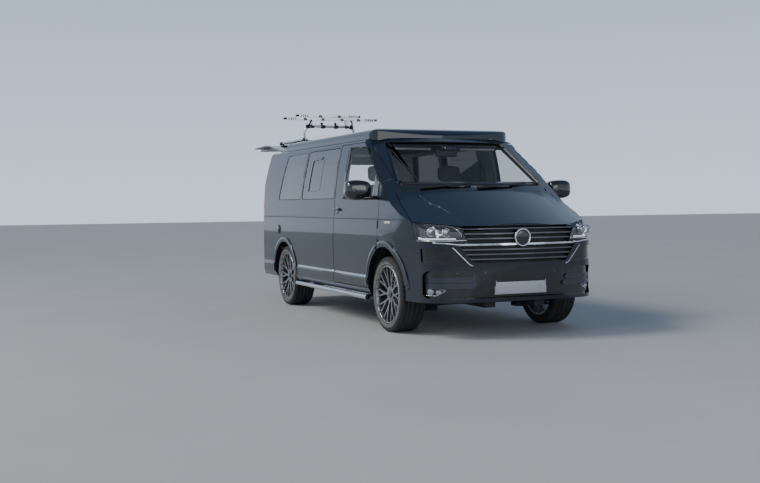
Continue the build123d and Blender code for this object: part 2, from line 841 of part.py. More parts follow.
front_liner = (front_axle_x, front_arch_z, front_arch_radius, liner_inner_y)
rear_liner = (rear_axle_x, rear_arch_z, rear_arch_radius, rear_liner_inner_y)
with BuildPart() as floor_pan:
    add(block(tail_x + 30, front_axle_x - 400, -far, far, sill_z + 55, sill_z + 85) & room)
    add(block(tail_x + 30, front_axle_x - 400, -far, far, sill_z + 10, sill_z + 55) & inner)
    add(block(front_axle_x - 410, firewall_x + 12, -liner_inner_y, liner_inner_y, sill_z + 10, sill_z + 85))
    add(block(firewall_x, firewall_x + 12, -far, far, sill_z + 10, 1400) & room)
    for liner_sizes in (front_liner, rear_liner):
        liner_half = liner_shell(*liner_sizes) & block(-4000, 4000, -far, far, sill_z + 10, 1400)
        add(both(liner_half & room))
    for liner_sizes in (front_liner, rear_liner):
        add(both(liner_room(*liner_sizes)), mode=Mode.SUBTRACT)
    for x in jack_places:
        add(both(block(x - 30, x + 30, jack_y - 25, jack_y + 25, jack_z, sill_z + 20)))
write(floor_pan, "floor_pan")

with BuildPart() as sliding_door:
    add(sliding_shell)
    add(side_prism(middle_glass_outline(1), 0, 1100, 40), mode=Mode.SUBTRACT)
write(sliding_door, "sliding_door")

# Grille: curved slats in front of a backing, with a plain disc in the middle
grille_front = body_form(6)
grille_mid = body_form(40)
grille_back = body_form(46)
upper_slats = ((958, 970), (914, 926), (872, 884))
lower_slats = ((776, 788), (734, 746), (692, 704))
chrome_line = (818, 834)
badge_z = 884
badge_radius = 80
with BuildPart() as grille:
    opening = upper_grille + lower_grille
    add((grille_mid - grille_back) & opening)
    bars = Part()
    for z_low, z_high in upper_slats + lower_slats + (chrome_line,):
        bars = bars + block(front_axle_x + 500, nose_x + 50, -620, 620, z_low, z_high)
    add(((grille_front - grille_mid) & opening) & bars)
    with BuildSketch(Plane.YZ.offset(nose_x - 60)):
        with Locations((0, badge_z)):
            Circle(badge_radius)
    extrude(amount=54)
write(grille, "grille")

# Headlamps: a dark housing behind a clear lens, with two lamp tubes
lamp_back = body_form(34)
with BuildPart() as headlamps:
    add(lamp_back & headlamp_shell)
    for y, z, radius in ((800, 940, 34), (690, 932, 34)):
        for side in (1, -1):
            lamp = tube((front_axle_x + 620, side * y, z), (1, 0, 0), radius, 400) & body_form(14)
            add(lamp - grille_back)
write(headlamps, "headlamps")
with BuildPart() as headlamp_lenses:
    add(headlamp_shell & glass)
write(headlamp_lenses, "headlamp_lenses")

# Mirrors stand off the door skin on a foot
mirror_front_x = door_front_x - 14
mirror_back_x = door_front_x - 122
for side, name in ((1, "left"), (-1, "right")):
    with BuildPart() as mirror_body:
        with BuildSketch(Plane.YZ.offset(mirror_back_x)) as head:
            with Locations((side * 1100, 1322)):
                Rectangle(256, 186)
            fillet(head.vertices(), 52)
        extrude(amount=mirror_front_x - mirror_back_x)
        fillet(mirror_body.faces().sort_by(Axis.X)[-1].edges(), 44)
        foot_low = min(side * 880, side * 1040)
        add(block(mirror_back_x + 20, mirror_front_x - 14, foot_low, foot_low + 160, 1226, 1262))
        add(outer, mode=Mode.SUBTRACT)
    write(mirror_body, f"mirror_{name}")

# Cab and living space
driver_y = -400
with BuildPart() as dashboard:
    with BuildSketch(Plane.XZ.offset(-842)):
        with BuildLine():
            Polyline(
                (firewall_x, 900),
                (firewall_x, 1200),
                (front_axle_x - 60, 1272),
                (front_axle_x - 210, 1268),
                (front_axle_x - 330, 1190),
                (front_axle_x - 340, 1010),
                (front_axle_x - 250, 900),
                close=True,
            )
        make_face()
    extrude(amount=1684)
    with BuildSketch(Plane.XZ.offset(-driver_y - 170)):
        with BuildLine():
            ThreePointArc((front_axle_x - 380, 1240), (front_axle_x - 270, 1322), (front_axle_x - 110, 1262))
            Line((front_axle_x - 110, 1262), (front_axle_x - 380, 1240))
        make_face()
    extrude(amount=340)
    add(room, mode=Mode.INTERSECT)
write(dashboard, "dashboard")

column_angle = 28
column_dir = (-cos(radians(column_angle)), 0, sin(radians(column_angle)))
column_foot = Vector(front_axle_x - 300, driver_y, 1080)
with BuildPart() as steering_wheel:
    with BuildSketch(Plane(origin=column_foot + Vector(*column_dir) * 130, z_dir=column_dir)):
        Circle(190)
        Circle(162, mode=Mode.SUBTRACT)
        Rectangle(340, 40)
        with Locations((0, -80)):
            Rectangle(40, 170)
        Circle(58)
    extrude(amount=26)
    add(tube(column_foot, column_dir, 36, 132))
    add(dashboard.part, mode=Mode.SUBTRACT)
write(steering_wheel, "steering_wheel")

floor_top = sill_z + 85
seat_x = front_axle_x - 980
with BuildPart() as front_seats:
    for y in (-410, 410):
        add(block(seat_x - 220, seat_x + 200, y - 190, y + 190, floor_top, floor_top + 300))
        with BuildSketch(Plane.XZ.offset(-y - 245)) as cushion:
            with BuildLine():
                Polyline(
                    (seat_x + 270, floor_top + 300),
                    (seat_x + 290, floor_top + 400),
                    (seat_x - 150, floor_top + 420),
                    (seat_x - 300, floor_top + 1000),
                    (seat_x - 400, floor_top + 1000),
                    (seat_x - 290, floor_top + 300),
                    close=True,
                )
            make_face()
            fillet(cushion.vertices(), 32)
        extrude(amount=490)
        with BuildSketch(Plane.XZ.offset(-y - 130)) as head_rest:
            with BuildLine():
                Polyline(
                    (seat_x - 310, floor_top + 998),
                    (seat_x - 345, floor_top + 1190),
                    (seat_x - 425, floor_top + 1190),
                    (seat_x - 400, floor_top + 998),
                    close=True,
                )
            make_face()
            fillet(head_rest.vertices().group_by(Axis.Z)[-1], 34)
        extrude(amount=260)
write(front_seats, "front_seats")

bench_x = rear_axle_x + 620
with BuildPart() as rear_bench:
    add(block(bench_x - 420, bench_x + 60, -330, 560, floor_top, floor_top + 270))
    with BuildSketch(Plane.XZ.offset(-560)) as bench:
        with BuildLine():
            Polyline(
                (bench_x + 90, floor_top + 270),
                (bench_x + 100, floor_top + 400),
                (bench_x - 330, floor_top + 420),
                (bench_x - 470, floor_top + 1010),
                (bench_x - 580, floor_top + 1010),
                (bench_x - 450, floor_top + 270),
                close=True,
            )
        make_face()
        fillet(bench.vertices(), 32)
    extrude(amount=890)
write(rear_bench, "rear_bench")

with BuildPart() as kitchen_cabinet:
    add(block(rear_axle_x + 430, door_rear_x - 200, -850, -440, floor_top, 1180))
    add(block(tail_x + 420, rear_axle_x + 430, -850, -600, floor_top + 400, 1180))
    add(block(rear_axle_x + 460, door_rear_x - 230, -460, -430, floor_top + 80, 1100), mode=Mode.SUBTRACT)
write(kitchen_cabinet, "kitchen_cabinet")

with BuildPart() as engine_block:
    add(block(firewall_x + 60, firewall_x + 560, -330, 330, 430, 920))
    for x in (firewall_x + 120, firewall_x + 460):
        add(block(x, x + 60, -300, -240, sill_z + 10, 430))
        add(block(x, x + 60, 240, 300, sill_z + 10, 430))
write(engine_block, "engine_block")

# Polished bars under the sills
bar_radius = 25
bar_y = 935
bar_z = 292
bar_start = rear_axle_x + rear_arch_radius + 40
bar_end = front_axle_x - front_arch_radius - 40
with BuildPart() as side_bars:
    for side in (1, -1):
        add(tube((bar_start, side * bar_y, bar_z), (1, 0, 0), bar_radius, bar_end - bar_start))
        for k in range(4):
            x = bar_start + 150 + k * (bar_end - bar_start - 340) / 3
            near, out = sorted((side * 805, side * bar_y))
            add(block(x, x + 40, near, out, bar_z - 12, bar_z + 12))
            near, out = sorted((side * 805, side * 835))
            add(block(x, x + 40, near, out, bar_z - 12, sill_z + 10))
write(side_bars, "side_bars")

with BuildPart() as exhaust:
    pipe_z = 238
    add(tube((firewall_x - 200, 260, pipe_z), (-1, 0, 0), 28, 1500))
    add(tube((firewall_x - 1700, 260, pipe_z), (-1, 0, 0), 80, 480))
    add(tube((firewall_x - 2180, 260, pipe_z), (-1, 0, 0), 28, 500))
    for x in (firewall_x - 500, firewall_x - 1500, firewall_x - 2480):
        add(block(x, x + 30, 250, 270, pipe_z, sill_z + 10))
write(exhaust, "exhaust")

# Wipers at rest along the foot of the windscreen
with BuildPart() as wipers:
    for y_pivot, y_tip in ((-40, 560), (-600, -80)):
        z_pivot = screen_bottom_z - 16
        arm = [(y_pivot, z_pivot - 8), (y_tip, z_pivot + 40), (y_tip, z_pivot + 52), (y_pivot, z_pivot + 10)]
        add(screen_layer(pillar_rise + 4, pillar_rise + 14) & front_prism(arm, screen_top_x, nose_x))
        post = tube((front_axle_x + 60, y_pivot + 4, z_pivot + 1), (1, 0, 0), 11, 200)
        add((post & screen_layer(pillar_rise - 3, pillar_rise + 14)) - outer)
write(wipers, "wipers")

# Gas struts of the tailgate, each a tube on the body and a rod towards the gate
def turned(x, z, angle):
    """A point of the tailgate after it swings by an angle about its hinge."""
    dx, dz = x - gate_hinge_x, z - gate_hinge_z
    a = radians(angle)
    return gate_hinge_x + dx * cos(a) + dz * sin(a), gate_hinge_z - dx * sin(a) + dz * cos(a)


eye_x, eye_z = turned(strut_eye_x, strut_eye_z, gate_open_angle)
strut_open = hypot(eye_x - strut_foot_x, eye_z - strut_foot_z)
strut_closed = hypot(strut_eye_x - strut_foot_x, strut_eye_z - strut_foot_z)
strut_dir = ((eye_x - strut_foot_x) / strut_open, 0, (eye_z - strut_foot_z) / strut_open)
stroke = strut_open - strut_closed
for side, name in ((1, "left"), (-1, "right")):
    foot = Vector(strut_foot_x, side * strut_lane, strut_foot_z)
    along = Vector(*strut_dir)
    near_face = (strut_foot_x, side * strut_lane - strut_radius, strut_foot_z)
    with BuildPart() as strut_tube:
        add(tube(foot + along * 8, strut_dir, strut_radius, strut_closed - 40))
        add(tube(near_face, (0, 1, 0), 14, 2 * strut_radius))
        add(tube(near_face, (0, 1, 0), strut_pin + seat_gap, 2 * strut_radius), mode=Mode.SUBTRACT)
        add(tube(foot + along * 18, strut_dir, rod_radius + seat_gap, strut_closed), mode=Mode.SUBTRACT)
    write(strut_tube, f"strut_tube_{name}")
    with BuildPart() as strut_rod:
        add(tube(foot + along * (stroke + 24), strut_dir, rod_radius, strut_closed - 24))
        add(tube((eye_x, side * strut_lane - strut_radius, eye_z), (0, 1, 0), 12, 2 * strut_radius))
    write(strut_rod, f"strut_rod_{name}")

# Bicycle rack on the tailgate, drawn as it stands on the raised gate
gate_form = opened(outer)
rack_tube = 15
rack_y = 335
rack_near_x = gate_hinge_x - 130
rack_tip_x = gate_hinge_x - 1196
rack_base_z = gate_hinge_z + 172
hoop_z = gate_hinge_z + 343
with BuildPart() as rack_frame:
    for y in (-rack_y, rack_y):
        add(tube((rack_near_x, y, rack_base_z), (-1, 0, 0), rack_tube, rack_near_x - rack_tip_x))
        for x in (rack_near_x - 40, rack_tip_x + 60):
            add(block(x - 22, x + 22, y - 22, y + 22, gate_hinge_z - 60, rack_base_z) - gate_form)
    with BuildLine() as hoop_path:
        FilletPolyline(
            (rack_near_x - 40, -rack_y, rack_base_z), (rack_near_x - 20, -rack_y - 15, hoop_z),
            (rack_near_x - 20, rack_y + 15, hoop_z), (rack_near_x - 40, rack_y, rack_base_z), radius=85
        )
    with BuildSketch(Plane(origin=hoop_path.line @ 0, z_dir=hoop_path.line % 0)):
        Circle(rack_tube)
    sweep(path=hoop_path.line)
    for x in (rack_near_x - 500, rack_tip_x + 60):
        add(tube((x, -rack_y, rack_base_z), (0, 1, 0), 11, 2 * rack_y))
write(rack_frame, "rack_frame")

rail_width = 44
with BuildPart() as rack_rails:
    for dx, dz, half in ((-96, 433, 630), (-190, 481, 435)):
        x, z = gate_hinge_x + dx, gate_hinge_z + dz
        add(block(x - rail_width / 2, x + rail_width / 2, -half, half, z - 16, z + 14))
        inside = rail_width / 2 - 6
        add(block(x - inside, x + inside, -half - 1, half + 1, z - 6, z + 20), mode=Mode.SUBTRACT)
    for y in (-240, 240):
        x = rack_near_x - 20
        add(block(x - 18, x + 68, y - 18, y + 18, hoop_z + 5, gate_hinge_z + 417))
        add(block(x - 70, x - 2, y - 14, y + 14, gate_hinge_z + 395, gate_hinge_z + 417))
        add(block(x - 70, x - 44, y - 14, y + 14, gate_hinge_z + 395, gate_hinge_z + 465))
    add(rack_frame.part, mode=Mode.SUBTRACT)
write(rack_rails, "rack_rails")

# Wheels, drawn about their own axis and then stood in place
rim_seat = 268
rim_inner = 250
rim_half = 112
shoulder = 9
hub_radius = 72
spindle = 25
spokes = 10
fork = 118
spoke_end = rim_inner + 4
disc_radius = 140
caliper_inner = 95
caliper_outer = 190


def tyre_solid():
    half = tyre_width / 2
    with BuildPart() as ring:
        with BuildSketch(Plane.XZ):
            with BuildLine():
                Polyline(
                    (rim_seat + seat_gap, -half),
                    (tyre_radius - shoulder, -half),
                    (tyre_radius, -half + shoulder),
                    (tyre_radius, half - shoulder),
                    (tyre_radius - shoulder, half),
                    (rim_seat + seat_gap, half),
                    close=True,
                )
            make_face()
        revolve(axis=Axis.Z)
    return ring.part


def rim_solid():
    with BuildPart() as rim:
        with BuildSketch(Plane.XZ):
            with BuildLine():
                Polyline(
                    (rim_inner, -rim_half),
                    (rim_seat, -rim_half),
                    (rim_seat, rim_half),
                    (rim_inner + 8, rim_half),
                    (rim_inner, rim_half - 14),
                    close=True,
                )
            make_face()
        revolve(axis=Axis.Z)
        with BuildSketch(Plane.XY.offset(40)):
            with PolarLocations(0, spokes):
                Polygon((50, -12), (fork, -9), (fork, 9), (50, 12), align=None)
                Polygon((fork - 10, -9), (spoke_end, -45), (spoke_end, -32), (fork, 8), align=None)
                Polygon((fork - 10, 9), (fork, -8), (spoke_end, 32), (spoke_end, 45), align=None)
        extrude(amount=80)
        with BuildSketch(Plane.XZ) as waste:
            Polygon((0, 86), (70, 84), (rim_inner + 2, 102), (rim_inner + 2, 130), (0, 130), align=None)
            Polygon((0, 30), (rim_inner + 2, 30), (rim_inner + 2, 74), (70, 54), (0, 54), align=None)
        revolve(axis=Axis.Z, mode=Mode.SUBTRACT)
        with BuildSketch(Plane.XY.offset(30)):
            Circle(hub_radius)
        extrude(amount=54)
        with BuildSketch(Plane.XY.offset(30)):
            Circle(spindle + seat_gap)
        extrude(amount=44, mode=Mode.SUBTRACT)
        with BuildSketch(Plane.XY.offset(84)):
            Circle(33)
        extrude(amount=9)
    return rim.part


def disc_solid():
    with BuildPart() as disc:
        with BuildSketch(Plane.XY.offset(-2)):
            Circle(disc_radius)
            Circle(spindle + seat_gap, mode=Mode.SUBTRACT)
        extrude(amount=25)
        with BuildSketch(Plane.XY.offset(23)):
            Circle(85)
            Circle(spindle + seat_gap, mode=Mode.SUBTRACT)
        extrude(amount=7)
    return disc.part


def carrier_solid(caliper_x):
    """The upright behind a disc, with its spindle and its caliper."""
    with BuildPart() as carrier:
        add(block(-36, 36, -140, 150, -57, -7))
        add(tube((0, 0, -10), (0, 0, 1), spindle, 80))
        reach = abs(caliper_x)
        x_low, x_high = (-reach, -30) if caliper_x < 0 else (30, reach)
        add(block(x_low, x_high, -52, 52, -57, -14))
        edge_low, edge_high = (-reach, -caliper_inner) if caliper_x < 0 else (caliper_inner, reach)
        add(block(edge_low, edge_high, -62, 62, -40, 38))
        room = tube((0, 0, -7), (0, 0, 1), disc_radius + 6, 35) - tube((0, 0, -7), (0, 0, 1), 60, 35)
        add(room, mode=Mode.SUBTRACT)
    return carrier.part


def stand(piece, x, side):
    """Turn a wheel piece so that its outer face looks out of the car."""
    place = Plane(origin=(x, side * wheel_y, tyre_radius), x_dir=(-side, 0, 0), z_dir=(0, side, 0))
    return piece.moved(Location(place))


upright_low = tyre_radius - 140
upright_high = tyre_radius + 150
ball_pin = 12
arm_gap = 5
arm_thickness = 24
for x, end in ((front_axle_x, "front"), (rear_axle_x, "rear")):
    for side, name in ((1, "left"), (-1, "right")):
        with BuildPart() as tyre:
            add(stand(tyre_solid(), x, side))
        write(tyre, f"tyre_{end}_{name}")
        with BuildPart() as rim:
            add(stand(rim_solid(), x, side))
        write(rim, f"rim_{end}_{name}")
        with BuildPart() as brake_disc:
            add(stand(disc_solid(), x, side))
        write(brake_disc, f"brake_disc_{end}_{name}")
        if end == "front":
            with BuildPart() as knuckle:
                add(stand(carrier_solid(side * caliper_outer), x, side))
                kingpin = (x, side * kingpin_y, upright_low - arm_gap - arm_thickness)
                add(tube(kingpin, (0, 0, 1), ball_pin, arm_gap + arm_thickness + 5))
                kingpin = (x, side * kingpin_y, upright_high - 5)
                add(tube(kingpin, (0, 0, 1), ball_pin, arm_gap + arm_thickness + 5))
            write(knuckle, f"knuckle_{name}")

strut_y = 566
with BuildPart() as front_subframe:
    add(block(front_axle_x - 90, front_axle_x + 66, -460, 460, 232, sill_z + 10))
    for side in (1, -1):
        low, high = sorted((side * 200, side * 305))
        add(block(front_axle_x + 60, nose_x - 150, low, high, 262, sill_z + 10))
        low, high = sorted((side * 440, side * (kingpin_y + 20)))
        arm_top = upright_low - arm_gap
        add(block(front_axle_x - 42, front_axle_x + 42, low, high, arm_top - arm_thickness, arm_top))
        low, high = sorted((side * 430, side * 500))
        add(block(front_axle_x - 60, front_axle_x + 60, low, high, arm_top - arm_thickness, 250))
        top_mount = front_arch_z + front_arch_radius + 2
        add(tube((front_axle_x, side * strut_y, arm_top - 2), (0, 0, 1), 27, top_mount - arm_top - 4))
        add(tube((front_axle_x, side * strut_y, 420), (0, 0, 1), 42, 300))
        low, high = sorted((side * strut_y, side * (kingpin_y + 20)))
        arm_low = upright_high + arm_gap
        add(block(front_axle_x - 26, front_axle_x + 26, low, high, arm_low, arm_low + arm_thickness))
        bore = (front_axle_x, side * kingpin_y, 100)
        add(tube(bore, (0, 0, 1), ball_pin + seat_gap, 500), mode=Mode.SUBTRACT)
write(front_subframe, "front_subframe")

with BuildPart() as rear_axle:
    add(tube((rear_axle_x, -700, 250), (0, 1, 0), 38, 1400))
    for side in (1, -1):
        add(stand(carrier_solid(side * caliper_outer), rear_axle_x, side))
        low, high = sorted((side * 560, side * (wheel_y - 57)))
        add(block(rear_axle_x - 36, rear_axle_x + 36, low, high, 214, 286))
        add(tube((rear_axle_x, side * 520, 250), (0, 0, 1), 52, sill_z - 240))
write(rear_axle, "rear_axle")
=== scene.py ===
import json
from math import cos, pi, radians, sin

import bmesh
import bpy
from mathutils import Matrix, Vector
from mathutils.bvhtree import BVHTree

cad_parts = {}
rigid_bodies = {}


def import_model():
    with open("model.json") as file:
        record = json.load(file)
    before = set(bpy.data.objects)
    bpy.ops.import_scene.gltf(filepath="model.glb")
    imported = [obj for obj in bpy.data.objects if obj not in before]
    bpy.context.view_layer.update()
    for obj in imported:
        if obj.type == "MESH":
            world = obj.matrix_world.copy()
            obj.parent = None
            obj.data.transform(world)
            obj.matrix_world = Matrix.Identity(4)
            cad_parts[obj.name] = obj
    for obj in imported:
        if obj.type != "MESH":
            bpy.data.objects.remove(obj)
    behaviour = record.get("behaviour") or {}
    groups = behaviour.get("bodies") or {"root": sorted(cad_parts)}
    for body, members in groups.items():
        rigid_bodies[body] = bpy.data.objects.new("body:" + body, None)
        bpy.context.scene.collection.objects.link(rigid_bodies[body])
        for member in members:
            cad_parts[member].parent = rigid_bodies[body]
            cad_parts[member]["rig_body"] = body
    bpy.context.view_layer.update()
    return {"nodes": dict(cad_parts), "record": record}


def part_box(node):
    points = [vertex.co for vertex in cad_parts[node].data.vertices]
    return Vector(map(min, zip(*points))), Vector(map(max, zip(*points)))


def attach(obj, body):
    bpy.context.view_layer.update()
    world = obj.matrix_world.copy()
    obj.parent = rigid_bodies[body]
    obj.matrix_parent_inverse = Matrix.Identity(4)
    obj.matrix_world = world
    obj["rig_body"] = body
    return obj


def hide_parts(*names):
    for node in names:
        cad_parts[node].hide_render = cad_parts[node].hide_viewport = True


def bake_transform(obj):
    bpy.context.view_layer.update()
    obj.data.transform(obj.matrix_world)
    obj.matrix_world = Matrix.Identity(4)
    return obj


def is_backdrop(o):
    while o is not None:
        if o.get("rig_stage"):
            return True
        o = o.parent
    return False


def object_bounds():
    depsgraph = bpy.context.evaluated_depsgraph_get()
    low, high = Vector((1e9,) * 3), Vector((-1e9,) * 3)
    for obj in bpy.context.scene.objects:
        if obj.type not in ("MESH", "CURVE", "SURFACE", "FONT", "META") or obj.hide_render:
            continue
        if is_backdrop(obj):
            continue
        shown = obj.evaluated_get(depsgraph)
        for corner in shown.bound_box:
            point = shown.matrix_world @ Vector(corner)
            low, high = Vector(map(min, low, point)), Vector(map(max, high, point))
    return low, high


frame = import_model()
nodes = frame["nodes"]
both_sides = ((-1, "right"), (1, "left"))

# Bump textures: the node, its own settings and the output that is read
grains = {
    "noise": ("ShaderNodeTexNoise", {"Detail": 3.0}, "Fac"),
    "weave": ("ShaderNodeTexWave", {"Distortion": 1.5}, "Fac"),
    "cells": ("ShaderNodeTexVoronoi", {}, "Distance"),
}
noise_low, noise_high = 0.3, 0.7
bump_depth = 0.002


def put(node, values):
    """Set inputs of a shader node by their names."""
    for socket, value in values.items():
        node.inputs[socket].default_value = value


# Materials: colour, roughness and bump all vary over the surface
def material(name, colour, rough=0.5, metal=0.0, coat=0.0, spread=0.12, scale=5.0, rough_spread=0.08,
        bump=0.1, bump_scale=300.0, grain="noise", sheen=0.0, glow=None, coat_rough=0.04,
        stretch=(1, 1, 1)):
    made = bpy.data.materials.new(name)
    made.use_nodes = True
    tree = made.node_tree
    shader = tree.nodes["Principled BSDF"]
    place = tree.nodes.new("ShaderNodeTexCoord")
    mapping = tree.nodes.new("ShaderNodeMapping")
    put(mapping, {"Scale": stretch})
    tree.links.new(place.outputs["Object"], mapping.inputs["Vector"])

    def texture(kind, size, settings):
        node = tree.nodes.new(kind)
        put(node, {"Scale": size, **settings})
        tree.links.new(mapping.outputs["Vector"], node.inputs["Vector"])
        return node

    cloud = texture("ShaderNodeTexNoise", scale, {"Detail": 4.0})
    ramp = tree.nodes.new("ShaderNodeValToRGB")
    for k, level, share in ((0, noise_low, 1 - spread), (1, noise_high, 1 + spread)):
        ramp.color_ramp.elements[k].position = level
        ramp.color_ramp.elements[k].color = (*[min(1.0, c * share) for c in colour], 1)
    tree.links.new(cloud.outputs["Fac"], ramp.inputs["Fac"])
    tree.links.new(ramp.outputs["Color"], shader.inputs["Base Color"])
    smear = texture("ShaderNodeTexNoise", scale * 3.1, {"Detail": 5.0})
    gloss = tree.nodes.new("ShaderNodeMapRange")
    put(gloss, {"From Min": noise_low, "From Max": noise_high, "To Min": max(0.01, rough - rough_spread),
        "To Max": min(1.0, rough + rough_spread)})
    tree.links.new(smear.outputs["Fac"], gloss.inputs["Value"])
    tree.links.new(gloss.outputs["Result"], shader.inputs["Roughness"])
    kind, settings, output = grains[grain]
    fine = texture(kind, bump_scale, settings)
    relief = tree.nodes.new("ShaderNodeBump")
    put(relief, {"Strength": bump, "Distance": bump_depth})
    tree.links.new(fine.outputs[output], relief.inputs["Height"])
    tree.links.new(relief.outputs["Normal"], shader.inputs["Normal"])
    put(shader, {"Metallic": metal, "Coat Weight": coat, "Coat Roughness": coat_rough,
        "Sheen Weight": sheen})
    if glow:
        put(shader, {"Emission Color": (*glow[0], 1), "Emission Strength": glow[1]})
    return made


def glass(name, colour, clear):
    """Thin tinted glass: light passes through it by a share and glints on it."""
    made = material(name, colour, 0.02, coat=1.0, spread=0.1, scale=3.0, rough_spread=0.012, bump=0.01,
        bump_scale=40)
    put(made.node_tree.nodes["Principled BSDF"], {"Alpha": 1 - clear})
    return made


# Looks: colour, roughness, metal, coat, and what differs from the usual spread and bump
looks = {
    "body_paint": material("slate paint", (0.009, 0.015, 0.025), 0.34, 0.15, 1.0, scale=900,
        rough_spread=0.05, bump=0.01, bump_scale=900, coat_rough=0.025),
    # Arch lips: a lighter, more metallic copy of the body paint, a painted highlight
    "arch_lip_highlight_paint": material("arch lip highlight paint", (0.013, 0.02, 0.033), 0.3, 0.4, 1.0, scale=900, rough_spread=0.05,
        bump=0.01, bump_scale=900, coat_rough=0.03),
    "trim_black": material("grained black", (0.012, 0.012, 0.013), 0.55, bump=0.3, bump_scale=900,
        grain="cells"),
    "gloss_black": material("gloss black", (0.008, 0.008, 0.009), 0.12, 0.0, 0.8, bump=0.02),
    "recess_black": material("recess black", (0.006, 0.0068, 0.0085), 0.22, 0.0, 0.7, bump=0.015,
        bump_scale=500),
    "shadow": material("seam shadow", (0.006, 0.007, 0.009), 0.7, bump=0.05),
    "grille_grey": material("slat grey", (0.11, 0.115, 0.125), 0.34, 0.6, 0.3, bump=0.05),
    "mesh_black": material("grille mesh", (0.006, 0.006, 0.007), 0.6, bump=1.0, bump_scale=130,
        grain="cells"),
    "slat_dark": material("slat dark", (0.035, 0.043, 0.058), 0.36, 0.35, 0.4, bump=0.05),
    "badge_dark": material("bare disc", (0.02, 0.022, 0.026), 0.16, 0.3, 0.8),
    "plate_grey": material("blank plate", (0.42, 0.43, 0.45), 0.38, 0.1, spread=0.03, bump=0.04),
    "bright_steel": material("polished steel", (0.74, 0.75, 0.77), 0.14, 1.0, spread=0.06, bump=0.03),
    "bright_satin": material("satin metal", (0.55, 0.56, 0.58), 0.28, 0.95, bump=0.04),
    # Sill ledge: a bright strip that stands for the ledge's highlight, a painted highlight
    "ledge_bright": material("painted ledge highlight", (0.5, 0.53, 0.58), 0.22, 0.8, 0.5, bump=0.03),
    "rack_silver": material("anodised silver", (0.62, 0.63, 0.66), 0.3, 0.95, spread=0.08, bump=0.06,
        bump_scale=700, stretch=(1, 12, 12)),
    "strut_black": material("strut black", (0.012, 0.012, 0.013), 0.3, 0.2, 0.4),
    "lamp_housing": material("lamp chrome", (0.16, 0.165, 0.175), 0.15, 0.9, bump=0.03),
    "lamp_light": material("light bar", (0.8, 0.84, 0.9), 0.25, 0.0, 0.5, spread=0.03,
        glow=((0.85, 0.92, 1.0), 0.7)),
    "lens_glow": material("reflector", (0.36, 0.38, 0.41), 0.08, 0.9, 0.8, bump=0.3, bump_scale=200,
        grain="cells"),
    "lens_white": material("white lens", (0.62, 0.64, 0.66), 0.12, 0.0, 0.8, bump=0.2, bump_scale=260,
        grain="cells"),
    "lens_red": material("lamp red", (0.28, 0.006, 0.01), 0.12, 0.0, 0.8, bump=0.15, bump_scale=180,
        grain="cells"),
    "lens_deep": material("deep red", (0.12, 0.002, 0.004), 0.1, 0.0, 0.9, bump=0.2, bump_scale=160,
        grain="cells"),
    "lens_clear": glass("clear lens", (0.3, 0.33, 0.36), 0.93),
    "glass_clear": glass("green tinted glass", (0.03, 0.04, 0.04), 0.84),
    "glass_dark": glass("dark glass", (0.02, 0.027, 0.036), 0.12),
    "mirror_glass": material("mirror glass", (0.75, 0.77, 0.8), 0.03, 1.0, spread=0.02, rough_spread=0.01,
        bump=0.0),
    "tyre": material("tyre rubber", (0.02, 0.02, 0.021), 0.75, spread=0.2, bump=0.35, bump_scale=420),
    "tyre_dust": material("dusty rubber", (0.12, 0.115, 0.11), 0.85, spread=0.35, scale=14, bump=0.3),
    "rim_grey": material("gunmetal", (0.3, 0.3, 0.31), 0.28, 0.9, 0.5, bump=0.04),
    "disc_steel": material("turned steel", (0.42, 0.41, 0.4), 0.35, 1.0, spread=0.1, bump=0.3,
        bump_scale=14, stretch=(8, 1, 8)),
    "underbody": material("underbody coat", (0.02, 0.02, 0.021), 0.75, bump=0.6, bump_scale=120),
    "engine_grey": material("engine casting", (0.1, 0.1, 0.105), 0.6, 0.6, bump=0.6, bump_scale=90),
    "exhaust_steel": material("dull exhaust", (0.2, 0.18, 0.16), 0.45, 0.9, spread=0.35, bump=0.3,
        bump_scale=60),
    "canvas": material("bellows cloth", (0.3, 0.29, 0.3), 0.85, bump=0.5, bump_scale=260, grain="weave",
        sheen=0.3),
    "seat_fabric": material("seat cloth", (0.085, 0.088, 0.098), 0.9, bump=0.6, bump_scale=420,
        grain="weave", sheen=0.4),
    "visor_grey": material("headlining", (0.42, 0.41, 0.4), 0.85, bump=0.4, bump_scale=400, grain="weave",
        sheen=0.2),
    "dash_grey": material("dash grey", (0.36, 0.36, 0.35), 0.6, bump=0.35, bump_scale=700, grain="cells"),
    "dash_black": material("wheel leather", (0.018, 0.018, 0.019), 0.45, bump=0.4, bump_scale=500,
        grain="cells"),
    "cabinet": material("cabinet laminate", (0.4, 0.4, 0.39), 0.35, bump=0.08, bump_scale=60,
        stretch=(1, 1, 6)),
    "floor_vinyl": material("floor vinyl", (0.17, 0.15, 0.13), 0.5, bump=0.15, bump_scale=90,
        stretch=(1, 7, 1)),
}
paint_shader = looks["body_paint"].node_tree.nodes["Principled BSDF"]
put(paint_shader, {"Specular IOR Level": 0.25, "Coat IOR": 1.42})

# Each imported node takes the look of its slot, and all but the glass small bevels
body_panels = ("bonnet", "front_wings", "front_bumper", "roof_frame", "pop_top", "side_panel_left",
    "side_panel_right", "sliding_door", "rear_bumper", "door_left", "door_right", "tailgate")
weld_gap = 0.00002
bonnet_bevel, panel_bevel, small_bevel = 0.006, 0.003, 0.0012
sharp_edge = radians(35)
for row in frame["record"]["subparts"]:
    node = nodes[row["node"]]
    node.data.materials.clear()
    node.data.materials.append(looks[row["material_slot"]])
    if row["material_slot"].startswith(("glass", "lens")):
        continue
    weld = node.modifiers.new("weld", "WELD")
    weld.merge_threshold = weld_gap
    bevel = node.modifiers.new("bevel", "BEVEL")
    bevel.width = panel_bevel if row["node"] in body_panels else small_bevel
    bevel.segments = 2
    if row["node"] == "bonnet":
        bevel.width = bonnet_bevel
        bevel.segments = 4
    bevel.limit_method = "ANGLE"
    bevel.angle_limit = sharp_edge
    even = node.modifiers.new("even", "WEIGHTED_NORMAL")
    even.weight = 50


